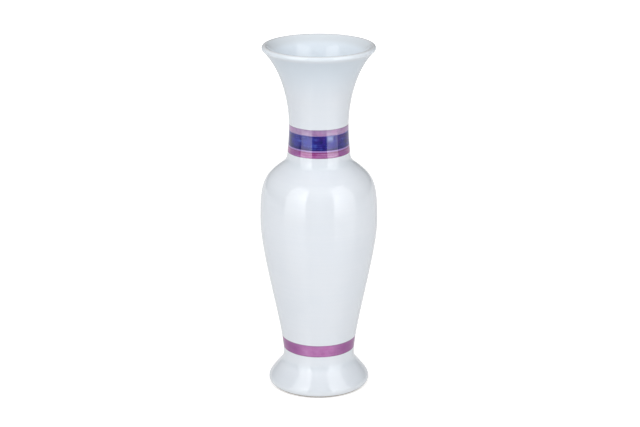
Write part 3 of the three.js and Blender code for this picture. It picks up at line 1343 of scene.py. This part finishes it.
@dataclass(frozen=True)
class Foot:
    """The hollow spreading foot: its bare standing ring, its glazed skirt, and the coil under the floor.

    The bare clay lies a glaze's step inside the skin, which fades out over two distances from the flat.
    """

    ring_height: float = 2
    ring_spacing: float = 0.35
    inner_ring_spacing: float = 0.25
    bare_rise: Pair = (0.3, 2.5)
    inner_bare_rise: Pair = (0.3, 1.2)
    glaze_step: float = 0.14
    glaze_edge: float = 0.6
    hollow_spacing: float = 1.2
    coil_size: float = 3.5
    coil_hollow: float = 0.25
    coil_spacing: float = 0.4
    coil_back_spacing: float = 0.5
    coil_dents: int = 11
    dent_depth: float = 0.35

    def standing_ring(self, skin: Skin, hollow: Skin) -> bpy.types.Object:
        """The bare ring: outside from the floor to the glaze line, its top face, inside, and its flat.

        Args:
            skin: the wall's skin.
            hollow: the skin of the foot's hollow.

        Returns:
            The piece.
        """
        top = length_at(skin, self.ring_height * MM)
        inner_top = length_at(hollow, self.ring_height * MM, Side.INSIDE)
        inner_end = float(hollow.lengths[-1])
        step = self.glaze_step * MM

        def bare(lengths: np.ndarray, angles: np.ndarray) -> np.ndarray:
            """The step down from the glaze, which fades out towards the flat."""
            return level(lengths, angles) - step * ease(lengths, *metres(self.bare_rise))

        def inner_bare(lengths: np.ndarray, angles: np.ndarray) -> np.ndarray:
            """The same step on the inside."""
            return level(lengths, angles) - step * ease(inner_end - lengths, *metres(self.inner_bare_rise))

        outside = skin.patch(rows_between(0, top, self.ring_spacing * MM), bare)
        inside = hollow.patch(rows_between(inner_top, inner_end, self.inner_ring_spacing * MM), inner_bare)
        patches = [outside, facing(outside, inside), inside, facing(inside, outside)]
        return turned("foot_ring_bare_clay", patches)

    def skirt(self, skin: Skin, hollow: Skin, waist_z: float) -> bpy.types.Object:
        """The glazed skirt, whose glaze ends in a rounded edge over the bare ring.

        Args:
            skin: the wall's skin.
            hollow: the skin of the foot's hollow.
            waist_z: the height of the waist, in metres.

        Returns:
            The piece.
        """
        start, end = length_at(skin, self.ring_height * MM), length_at(skin, waist_z)
        last = length_at(hollow, self.ring_height * MM, Side.INSIDE)
        step, edge = self.glaze_step * MM, self.glaze_edge * MM

        def glaze(lengths: np.ndarray, angles: np.ndarray) -> np.ndarray:
            """The layer's height less its full height, so that it meets the skin away from its edge."""
            return rounded(start, FAR, step, edge)(lengths, angles) - step

        def inner_glaze(lengths: np.ndarray, angles: np.ndarray) -> np.ndarray:
            """The same on the inside."""
            return rounded(-FAR, last, step, edge)(lengths, angles) - step

        outside = skin.patch(rows_between(start, end, OUTER_SPACING, fine_start=edge), glaze)
        inside = hollow.patch(rows_between(0, last, self.hollow_spacing * MM, fine_end=edge), inner_glaze)
        patches = [outside, facing(outside, inside), inside, facing(inside, outside)]
        return turned("foot_skirt_glazed", patches)

    def corner_coil(self, hollow: Skin, waist_z: float) -> bpy.types.Object:
        """The coil in the corner under the floor: its back, its flat top and its hollowed, dented face.

        Args:
            hollow: the skin of the foot's hollow.
            waist_z: the height of the waist, in metres.

        Returns:
            The piece.
        """
        size = self.coil_size * MM
        low = length_at(hollow, waist_z - size, Side.INSIDE)
        back = hollow.patch(rows_between(low, 0, self.coil_back_spacing * MM))
        corner, foot = hollow.points[0], hollow.place(low)
        far = corner - np.array([size, 0])
        middle = np.array([corner[0] - self.coil_hollow * size, foot[1] + self.coil_hollow * size])
        lengths, points = evenly(bow(far, middle, foot, steps=80))
        width = float(lengths[-1])

        def dents(at: np.ndarray, angles: np.ndarray) -> np.ndarray:
            """Finger marks that fade out at both edges of the face."""
            fade = np.sin(math.pi * np.clip(at / width, 0, 1)) ** 2
            return self.dent_depth * MM * fade * np.sin(self.coil_dents * angles + np.sin(3 * angles))

        front = Skin.along(lengths, points).patch(rows_between(0, width, self.coil_spacing * MM), dents)
        return turned("floor_luting_coil_pressed", [back, facing(back, front), front])

    def build(self, outline: Outline, skin: Skin, hollow: Skin) -> None:
        """Builds and dresses the foot's three pieces.

        Args:
            outline: the vase's lines.
            skin: the wall's skin.
            hollow: the skin of the foot's hollow.
        """
        dressed(self.standing_ring(skin, hollow), BARE_CLAY, "foot_ring")
        dressed(self.skirt(skin, hollow, outline.waist_z), WHITE_GLAZE, "foot_skirt")
        dressed(self.corner_coil(hollow, outline.waist_z), WHITE_GLAZE, "floor_luting_coil")


@dataclass(frozen=True)
class PaintedBands:
    """The four brushed bands: one over the waist, and three that touch round the neck. Each lies in its seat.

    The painted edges can lie off the seats' own: the white comes over the top of the foot's band, a lavender
    line shows between rose and blue, a slate one between blue and lilac, and the lilac starts a little low.
    """

    foot_lift: float = 10
    foot_height: float = 11
    neck_lift: float = 6.8
    rose_height: float = 6
    blue_height: float = 11.7
    lilac_height: float = 5.2
    enamel_thickness: float = 0.4
    paint_rise: float = 0.04
    paint_edge: float = 0.4
    paint_spacing: float = 0.6
    white_line: float = 0.45
    lavender_line: float = 0.65
    slate_line: float = 0.6
    lilac_drop: float = 0.3
    white: Colour = WHITE_GLAZE.white
    lavender: Colour = (0.35, 0.21, 0.54)
    lilac: Colour = (0.37, 0.23, 0.435)
    slate: Colour = (0.14, 0.11, 0.40)
    blue: Colour = (0.012, 0.009, 0.20)
    # The pale blue of a painted reflection on the blue band.
    painted_reflection_pale_blue: Colour = (0.36, 0.44, 0.80)

    def foot_levels(self, outline: Outline) -> Pair:
        """The lower and upper heights of the band over the waist, in metres."""
        low = outline.waist_z + self.foot_lift * MM
        return low, low + self.foot_height * MM

    def neck_levels(self, outline: Outline) -> tuple[float, float, float, float]:
        """The four heights where the neck's three bands start and end.

        Args:
            outline: the vase's lines.

        Returns:
            The heights in metres, from the lowest up.
        """
        low = outline.neck_base_z + self.neck_lift * MM
        heights = np.cumsum([0, self.rose_height, self.blue_height, self.lilac_height]) * MM
        return tuple(float(low + height) for height in heights)

    def band(self, name: str, skin: Skin, low: float, high: float) -> bpy.types.Object:
        """One band: its painted outside, and the back that lies behind it in the wall.

        Args:
            name: the piece's name.
            skin: the wall's skin.
            low: its lower height, in metres.
            high: its upper height.

        Returns:
            The piece.
        """
        start, end = length_at(skin, low), length_at(skin, high)
        edge = self.paint_edge * MM
        rows = rows_between(start, end, self.paint_spacing * MM, edge, edge)
        outside = skin.patch(rows, rounded(start, end, self.paint_rise * MM, edge))
        back = skin.patch(rows_between(end, start, INNER_SPACING), shift=-self.enamel_thickness * MM)
        return turned(name, [outside, facing(outside, back), back, facing(back, outside)])

    def foot_rose(self, low: float, high: float) -> EnamelFinish:
        """The rose over the waist, with a dark line inside both edges, and painted shade on both sides.

        Args:
            low: the band's lower height, in millimetres.
            high: its upper height.

        Returns:
            The finish.
        """
        middle = 0.5 * (low + high)
        line = {"beyond": self.white, "pool_share": 0.95, "pool_width": 0.6, "wobble": 0.12}
        return EnamelFinish(
            "rose_enamel_over_the_waist", Slot.ROSE_ENAMEL, contrast=0.9, ior=1.5,
            colour=(0.46, 0.165, 0.42), deep=(0.38, 0.115, 0.34),
            thin=(0.51, 0.23, 0.49), tint=(0.52, 0.14, 0.42),
            low=Edge(low, pool=(0.25, 0.11, 0.23), softness=0.3, **line),
            high=Edge(high - self.white_line, pool=(0.29, 0.19, 0.30), softness=0.4, **line),
            # Painted shade: the two touches darken the band's sides, sixty degrees either side of the front.
            touches=(Touch(-150, middle, half_size=(42, 9), colour=(0.27, 0.065, 0.26), share=0.85),
                     Touch(-30, middle, half_size=(42, 9), colour=(0.27, 0.07, 0.26), share=0.85)))

    def neck_rose(self, low: float, high: float) -> EnamelFinish:
        """The rose under the blue, streaky, with painted shade on both sides as seen from the front.

        Args:
            low: the band's lower height, in millimetres.
            high: its upper height.

        Returns:
            The finish.
        """
        middle = 0.5 * (low + high)
        return EnamelFinish(
            "rose_enamel_under_the_blue", Slot.ROSE_ENAMEL, contrast=1.5, streak_share=0.65, ior=2.0,
            colour=(0.35, 0.095, 0.31), deep=(0.24, 0.03, 0.18),
            thin=(0.47, 0.22, 0.45), tint=(0.44, 0.06, 0.33),
            low=Edge(low, beyond=self.white, pool=(0.20, 0.07, 0.22), pool_share=0.75, pool_width=0.35,
                     wobble=0.15, softness=0.3),
            high=Edge(high - self.lavender_line, beyond=self.lavender, pool=(0.17, 0.015, 0.12),
                      pool_share=0.85, pool_width=0.8, wobble=0.35, softness=0.5),
            # Painted shade: the two touches darken the band's sides, about fifty degrees either side of the
            # front.
            touches=(Touch(-142, middle, half_size=(18, 6), colour=(0.25, 0.03, 0.28), share=0.7),
                     Touch(-38, middle, half_size=(18, 6), colour=(0.20, 0.02, 0.22), share=0.8)))

    def neck_blue(self, low: float, high: float) -> EnamelFinish:
        """The violet-blue, with painted reflections at the front and one thinner place to its left.

        The two bluish touches and the pale one at the front are painted reflections of the lamps.

        Args:
            low: the band's lower height, in millimetres.
            high: its upper height.

        Returns:
            The finish.
        """
        return EnamelFinish(
            "blue_enamel_brushed", Slot.BLUE_ENAMEL, contrast=1.5, ripple=0.012, ior=1.7,
            colour=self.blue, deep=(0.005, 0.005, 0.11),
            thin=(0.045, 0.07, 0.38), tint=(0.055, 0.012, 0.22),
            low=Edge(low, beyond=self.lavender, pool=(0.005, 0.005, 0.07), pool_share=0.8, pool_width=0.9,
                     wobble=0.2),
            high=Edge(high - self.lilac_drop + self.slate_line, beyond=self.slate, pool=self.slate,
                      pool_share=0.0, wobble=0.4, softness=0.6),
            # Painted reflections at -62, -112 and the pale -67.5 degrees; the touch at -142 is thinner paint.
            touches=(Touch(-62, low + 5.9, half_size=(12, 4.0), colour=(0.05, 0.05, 0.46), share=0.5),
                     Touch(-112, low + 6.9, half_size=(15, 3.5), colour=(0.04, 0.06, 0.47), share=0.65),
                     Touch(-142, low + 6.9, half_size=(16, 4.0), colour=(0.01, 0.012, 0.31), share=0.6),
                     Touch(-67.5, low + 9.7, half_size=(8, 2.4), colour=self.painted_reflection_pale_blue, share=0.68)))

    def neck_lilac(self, low: float, high: float) -> EnamelFinish:
        """The lilac over the blue, with a dark line inside its upper edge.

        Args:
            low: the band's lower height, in millimetres.
            high: its upper height.

        Returns:
            The finish.
        """
        return EnamelFinish(
            "lilac_enamel_brushed", Slot.LILAC_ENAMEL, ior=2.1,
            colour=self.lilac, deep=(0.32, 0.16, 0.37),
            thin=(0.43, 0.28, 0.50), tint=(0.43, 0.16, 0.41),
            low=Edge(low - self.lilac_drop, beyond=self.blue, pool=self.slate, pool_share=0.8,
                     pool_width=0.55, wobble=0.4, softness=0.6),
            high=Edge(high, beyond=self.white, pool=(0.24, 0.17, 0.28), pool_share=0.95, pool_width=0.55,
                      wobble=0.15, softness=0.3))

    def build(self, outline: Outline, skin: Skin) -> None:
        """Builds and dresses the four bands.

        Args:
            outline: the vase's lines.
            skin: the wall's skin.
        """
        neck = self.neck_levels(outline)
        bands = (
            ("foot_band_brushed", "foot_band", self.foot_levels(outline), self.foot_rose),
            ("neck_band_lower_brushed", "neck_band_lower", neck[:2], self.neck_rose),
            ("neck_band_blue_brushed", "neck_band_blue", neck[1:3], self.neck_blue),
            ("neck_band_upper_brushed", "neck_band_upper", neck[2:], self.neck_lilac),
        )
        for name, node, (low, high), finish in bands:
            dressed(self.band(name, skin, low, high), finish(low / MM, high / MM), node)


@dataclass(frozen=True)
class Vessel:
    """The vessel's floor, the three wall sections of the body and neck, and the coils along two joints.

    The floor's spiral comes up over two radii round its middle and dies away towards its rim. Closer rows lie
    beside its two rounded edges.
    """

    floor_edge: float = 0.8
    floor_under_edge: float = 0.3
    floor_spacing: float = 0.9
    edge_rows: Pair = (-0.3, 0.2)
    edge_row_gap: float = 0.3
    spiral_height: float = 0.16
    spiral_pitches: Pair = (4.6, 7.4)
    spiral_rise: Pair = (1, 5)
    spiral_fall: float = 4
    underside_height: float = 0.03
    seat_depth: float = 0.7
    neck_margin: float = 4
    coil_height: float = 9
    coil_thickness: float = 1.8
    coil_dents: int = 13
    coil_rows: int = 20

    def floor_disc(self, outline: Outline, radius: float) -> bpy.types.Object:
        """The floor: from the middle of its underside out, up its rounded edge, and back over a spiral.

        Args:
            outline: the vase's lines.
            radius: the floor's radius, in metres.

        Returns:
            The piece.
        """
        low, high = outline.waist_z, outline.waist_z + outline.floor_thickness * MM
        edge, under_edge = self.floor_edge * MM, self.floor_under_edge * MM
        lengths, points = evenly(np.concatenate([
            np.array([[0.0, low]]),
            arc(np.array([radius - under_edge, low + under_edge]), under_edge, -90, 0, steps=20),
            arc(np.array([radius - edge, high - edge]), edge, 0, 90, steps=40),
            np.array([[0.0, high]]),
        ]))
        end = float(lengths[-1])
        top_start = end - (radius - edge)
        fade = ease(points[:, 0], *metres(self.spiral_rise))
        fade *= ease(radius - points[:, 0], 0, self.spiral_fall * MM)
        heights = np.where(lengths > top_start, self.spiral_height, self.underside_height) * MM * fade
        skin = Skin.along(lengths, points, heights, marks=Marks(*self.spiral_pitches))
        corners = np.array([*(radius + row * MM for row in self.edge_rows), top_start])
        rows = [rows_between(0, end, self.floor_spacing * MM), corners, corners + self.edge_row_gap * MM]
        return turned("vessel_floor_glazed", [skin.patch(np.unique(np.concatenate(rows)))], closed=False)

    def joint_coil(self, name: str, skin: Skin, height: float) -> bpy.types.Object:
        """A coil pressed along the inside of a joint: its back lies on the wall, and its face swells out.

        The face swells from thin edges, where its rows stand closer, by half a cosine.

        Args:
            name: the piece's name.
            skin: the wall's skin.
            height: the joint's height, in metres.

        Returns:
            The piece.
        """
        half = 0.5 * self.coil_height * MM
        low, high = (length_at(skin, z, Side.INSIDE) for z in (height - half, height + half))
        share = 0.5 - 0.5 * np.cos(np.linspace(0, math.pi, self.coil_rows + 1))
        rows = high + (low - high) * share
        back = skin.patch(rows[::-1])
        face = skin.patch(rows, pressed(high, low, self.coil_thickness * MM, self.coil_dents))
        return turned(name, [back, face])

    def build(self, outline: Outline, skin: Skin, floor_radius: float, bands: PaintedBands) -> None:
        """Builds and dresses the vessel's pieces.

        Args:
            outline: the vase's lines.
            skin: the wall's skin.
            floor_radius: the radius of its floor, in metres.
            bands: the painted bands that lie in its seats.
        """
        waist, belly, neck_base = outline.waist_z, outline.belly_z, outline.neck_base_z
        neck_top = self.neck_top(outline, bands)
        neck_bands = bands.neck_levels(outline)
        foot_seat = (*bands.foot_levels(outline), self.seat_depth * MM)
        neck_seat = (neck_bands[0], neck_bands[-1], self.seat_depth * MM)
        dressed(self.floor_disc(outline, floor_radius), WHITE_GLAZE, "vessel_floor")
        dressed(section("lower_body_glazed", skin, waist, belly, foot_seat), WHITE_GLAZE, "lower_body")
        dressed(section("shoulder_glazed", skin, belly, neck_base), WHITE_GLAZE, "shoulder")
        dressed(section("neck_glazed", skin, neck_base, neck_top, neck_seat), WHITE_GLAZE, "neck")
        for node, height in (("girth_luting_coil", belly), ("neck_luting_coil", neck_base)):
            dressed(self.joint_coil(f"{node}_pressed", skin, height), WHITE_GLAZE, node)

    def neck_top(self, outline: Outline, bands: PaintedBands) -> float:
        """The height of the joint over the neck's bands, in metres."""
        return bands.neck_levels(outline)[-1] + self.neck_margin * MM


@dataclass(frozen=True)
class Mouth:
    """The trumpet above the neck's bands, and the lip roll that ends it."""

    lip_height: float = 6
    lip_spacing: float = 0.35

    def lip(self, skin: Skin, seat: float) -> bpy.types.Object:
        """The lip: one stretch of the skin from the outside over the roll to the inside, and its bottom face.

        Args:
            skin: the wall's skin.
            seat: the height of the joint under the lip, in metres.

        Returns:
            The piece.
        """
        start, end = length_at(skin, seat), length_at(skin, seat, Side.INSIDE)
        over = skin.patch(rows_between(start, end, self.lip_spacing * MM))
        return turned("lip_roll_glazed", [over, facing(over, over)])

    def build(self, outline: Outline, skin: Skin, neck_top: float) -> None:
        """Builds and dresses the mouth's two pieces.

        Args:
            outline: the vase's lines.
            skin: the wall's skin.
            neck_top: the height of the joint under the trumpet, in metres.
        """
        seat = outline.top_z - self.lip_height * MM
        dressed(section("mouth_flare_glazed", skin, neck_top, seat), WHITE_GLAZE, "mouth_flare")
        dressed(self.lip(skin, seat), WHITE_GLAZE, "lip_roll")


@dataclass(frozen=True)
class Softbox:
    """A tall soft lamp that stands on the floor and faces the vase.

    Its cloth is brightest at one place, from which its radiance falls off as a bell towards that of its
    rim. It fades out at the top, and a little at the foot, by smooth steps of the height. The azimuth is in
    degrees, and places on the face are shares of its width and height.
    """

    name: str
    azimuth: float
    distance: float
    size: Pair
    rim_radiance: float
    peak_radiance: float
    peak: Pair
    spread: Pair = (0.45, 0.23)
    top_fade: Pair = (0.82, 0.98)
    foot_fade: Pair = (0.03, 0.14)
    foot_share: float = 0.95
    floor_gap: float = 0.001

    def light(self) -> None:
        """Makes the lamp. Its power is pi times the area of its face, and its nodes give the radiance."""
        width, height = self.size
        lamp = bpy.data.lights.new(self.name, "AREA")
        lamp.shape = "RECTANGLE"
        lamp.size, lamp.size_y = self.size
        lamp.energy = math.pi * width * height
        lamp.use_nodes = True
        graph = Graph(lamp.node_tree)
        place = graph.parts(graph.node("ShaderNodeNewGeometry").outputs["Parametric"])
        bells = [graph.bell(place[i], self.peak[i], self.spread[i]) for i in (0, 1)]
        rise = self.peak_radiance - self.rim_radiance
        strength = graph.math("MULTIPLY_ADD", graph.times(*bells), rise, self.rim_radiance)
        strength = graph.times(strength, graph.ease(place[1], *self.top_fade, 1, 0))
        strength = graph.times(strength, graph.ease(place[1], *self.foot_fade, self.foot_share, 1))
        face = graph.node("ShaderNodeEmission", {"Color": PLAIN_WHITE, "Strength": strength})
        graph.node("ShaderNodeOutputLight", {"Surface": face.outputs[0]})
        holder = bpy.data.objects.new(self.name, lamp)
        turn = math.radians(self.azimuth)
        middle = 0.5 * height + self.floor_gap
        holder.location = (self.distance * math.sin(turn), -self.distance * math.cos(turn), middle)
        holder.rotation_euler = (0.5 * math.pi, 0, turn)
        holder.visible_camera = False
        bpy.context.scene.collection.objects.link(holder)


@dataclass(frozen=True)
class Room:
    """The room's radiance: above, before the vase, behind it at the left and right, and less near the floor.

    What the glaze mirrors of the room before the vase is dimmer, so that the lamps show in it with crisp
    edges. A rise is the part of the way looked in, from minus one to one, over which a level comes up.
    """

    above: float = 0.56
    above_rise: Pair = (0.45, 0.8)
    front: float = 0.72
    front_mirrored: float = 0.2
    front_rise: Pair = (-0.4, 0.6)
    left: float = 0.58
    right: float = 0.21
    side_rise: Pair = (-0.4, 0.4)
    low_share: float = 0.5
    low_rise: Pair = (0.0, 0.3)

    def level(self, graph: Graph, way: Socket, mirrored: Socket) -> Socket:
        """The radiance from one way: the levels, joined by smooth steps of the way's three parts.

        Args:
            graph: the world's nodes.
            way: the direction that is looked in.
            mirrored: one where a gloss mirrors the room, and nought elsewhere.

        Returns:
            The radiance.
        """
        x, y, z = graph.parts(way)
        behind = graph.between(graph.ease(x, *self.side_rise), self.left, self.right)
        front = graph.between(mirrored, self.front, self.front_mirrored)
        around = graph.between(graph.ease(graph.times(y, -1.0), *self.front_rise), behind, front)
        around = graph.times(around, graph.ease(z, *self.low_rise, self.low_share, 1))
        return graph.between(graph.ease(z, *self.above_rise), around, self.above)


@dataclass(frozen=True)
class Studio:
    """A pale floor and backdrop, two tall softboxes before the vase, and the camera.

    The sweep is the white paper behind the vase, which the glaze mirrors. It widens with the distance. The
    table's whites are those near the vase and far from it, and the mirrored ones before and behind it.
    """

    camera_place: tuple[float, float, float] = (0.00096, -1.3496, 0.5748)
    camera_tilt: float = 72.26
    camera_clip: Pair = (0.01, 100)
    lens: float = 100.07
    sensor: float = 36
    floor_reach: float = 4
    floor_white: float = 0.9
    floor_glow: float = 0.47
    floor_full_glow: Pair = (0.5, 1.6)
    sweep_front: Pair = (-0.5, -0.2)
    sweep_depth: Pair = (1.7, 2.0)
    sweep_half_width: Pair = (0.26, 0.34)
    sweep_widening: float = 0.19
    sweep_mirrored: float = 0.35
    table_whites: Pair = (0.92, 0.08)
    table_reach: Pair = (0.25, 0.55)
    # Painted shade on the table close to the foot, and how far it reaches.
    table_shade: float = 0.7
    table_shaded: Pair = (0.05, 0.2)
    mirrored_whites: Pair = (0.4, 0.42)
    table_roughness: float = 0.12
    table_ior: float = 1.8
    room: Room = field(default_factory=Room)
    softboxes: tuple[Softbox, ...] = (
        Softbox("left_softbox", azimuth=-46.7, distance=0.78, size=(0.61, 1.5),
                rim_radiance=1.4, peak_radiance=3.1, peak=(0.95, 0.34)),
        Softbox("right_softbox", azimuth=52.5, distance=0.78, size=(0.65, 1.5),
                rim_radiance=1.37, peak_radiance=2.55, peak=(0.08, 0.28)),
    )

    def floor(self) -> None:
        """Makes the floor: a matt white that glows for the camera, and a glossy table top for other rays."""
        r = self.floor_reach
        mesh = bpy.data.meshes.new("studio_floor")
        mesh.from_pydata([(-r, -r, 0), (r, -r, 0), (r, r, 0), (-r, r, 0)], [], [(0, 1, 2, 3)])
        floor = bpy.data.objects.new("studio_floor", mesh)
        bpy.context.scene.collection.objects.link(floor)
        material = bpy.data.materials.new("studio_white")
        material.use_nodes = True
        graph = Graph(material.node_tree)
        path = graph.node("ShaderNodeLightPath").outputs
        where = graph.node("ShaderNodeTexCoord").outputs["Object"]
        behind = graph.ease(graph.parts(where)[1], *self.sweep_front)
        table = graph.node("ShaderNodeBsdfPrincipled", {
            "Base Color": self.table_white(graph, path, where, behind), "Roughness": self.table_roughness,
            "IOR": self.table_ior})
        matt = graph.node("ShaderNodeBsdfDiffuse", {"Color": coloured(grey(self.floor_white))})
        surface = graph.node("ShaderNodeMixShader", {
            0: path["Is Camera Ray"], 1: table.outputs[0], 2: matt.outputs[0]})
        shine = graph.node("ShaderNodeEmission", {
            "Color": PLAIN_WHITE, "Strength": self.glow(graph, path, where, behind)})
        both = graph.node("ShaderNodeAddShader", {0: surface.outputs[0], 1: shine.outputs[0]})
        graph.node("ShaderNodeOutputMaterial", {"Surface": both.outputs[0]})
        mesh.materials.append(material)

    def table_white(self, graph: Graph, path: Mapping[str, Socket], where: Socket, behind: Socket) -> Socket:
        """The table top's white, which falls off with the distance and has painted shade close to the foot.

        Where the glaze mirrors it, it has a grey of its own.

        Args:
            graph: the floor's nodes.
            path: what kind of ray is asking.
            where: the place on the floor.
            behind: nought before the vase and one behind it.

        Returns:
            The colour.
        """
        distance = graph.vector("LENGTH", where)
        near, far = map(grey, self.table_whites)
        plain = graph.mix(graph.ease(distance, *self.table_reach), near, far)
        # Painted shade: the table is darker close to the foot.
        shade = graph.ease(distance, *self.table_shaded, self.table_shade, 1)
        plain = graph.node("ShaderNodeVectorMath", {0: plain, 3: shade}, operation="SCALE").outputs[0]
        mirrored = graph.mix(behind, *map(grey, self.mirrored_whites))
        return graph.mix(path["Is Glossy Ray"], plain, mirrored)

    def glow(self, graph: Graph, path: Mapping[str, Socket], where: Socket, behind: Socket) -> Socket:
        """The floor's glow, which grows with the distance from the vase, where the lamps reach less.

        So the shadow under the foot stays, and the floor has no horizon. The camera sees all of it. The
        glaze mirrors it only behind the vase: at the near floor's level, which grows a little over a sweep
        as wide as the picture.

        Args:
            graph: the floor's nodes.
            path: what kind of ray is asking.
            where: the place on the floor.
            behind: nought before the vase and one behind it.

        Returns:
            The radiance.
        """
        x, y, _ = graph.parts(where)
        aside = graph.math("MULTIPLY_ADD", y, -self.sweep_widening, graph.math("ABSOLUTE", x))
        deep = graph.times(graph.ease(y, *self.sweep_depth, 1, 0), graph.math("GREATER_THAN", y, 0.0))
        sweep = graph.times(graph.ease(aside, *self.sweep_half_width, 1, 0), deep)
        mirrored = graph.math("MAXIMUM", path["Is Glossy Ray"], path["Is Transmission Ray"])
        seen = graph.math("MAXIMUM", path["Is Camera Ray"], graph.times(mirrored, behind))
        swept = graph.times(graph.times(mirrored, sweep), self.sweep_mirrored)
        full = graph.math("MAXIMUM", path["Is Camera Ray"], swept)
        growth = graph.ease(graph.vector("LENGTH", where), *self.floor_full_glow, 0, 1 - self.floor_glow)
        return graph.times(seen, graph.math("ADD", graph.times(growth, full), self.floor_glow))

    def surroundings(self) -> None:
        """Makes the world: a white backdrop for the camera, and the room for every other ray."""
        world = bpy.data.worlds.new("studio_room")
        world.use_nodes = True
        bpy.context.scene.world = world
        graph = Graph(world.node_tree)
        path = graph.node("ShaderNodeLightPath").outputs
        way = graph.node("ShaderNodeTexCoord").outputs["Generated"]
        room = self.room.level(graph, way, path["Is Glossy Ray"])
        strength = graph.math("MAXIMUM", room, path["Is Camera Ray"])
        back = graph.node("ShaderNodeBackground", {"Color": PLAIN_WHITE, "Strength": strength})
        graph.node("ShaderNodeOutputWorld", {"Surface": back.outputs[0]})

    def camera(self) -> None:
        """Makes the camera at the photograph's angle and sets it as the scene's."""
        lens = bpy.data.cameras.new("camera")
        lens.lens, lens.sensor_width = self.lens, self.sensor
        lens.clip_start, lens.clip_end = self.camera_clip
        holder = bpy.data.objects.new("camera", lens)
        holder.location = self.camera_place
        holder.rotation_euler = (math.radians(self.camera_tilt), 0, 0)
        bpy.context.scene.collection.objects.link(holder)
        bpy.context.scene.camera = holder

    def build(self) -> None:
        """Builds the whole studio, and sets the plain view transform."""
        self.camera()
        self.floor()
        self.surroundings()
        for softbox in self.softboxes:
            softbox.light()
        bpy.context.scene.view_settings.view_transform = "Standard"


def main() -> None:
    """Builds the studio and the vase, from the foot up."""
    logging.basicConfig(level=logging.INFO, format="%(name)s: %(message)s")
    Studio().build()
    outline = Outline()
    skin = outline.skin()
    floor_radius = outline.floor_radius(skin)
    hollow = outline.hollow(floor_radius)
    bands = PaintedBands()
    vessel = Vessel()
    Foot().build(outline, skin, hollow)
    vessel.build(outline, skin, floor_radius, bands)
    Mouth().build(outline, skin, vessel.neck_top(outline, bands))
    bands.build(outline, skin)


if __name__ == "__main__":
    main()
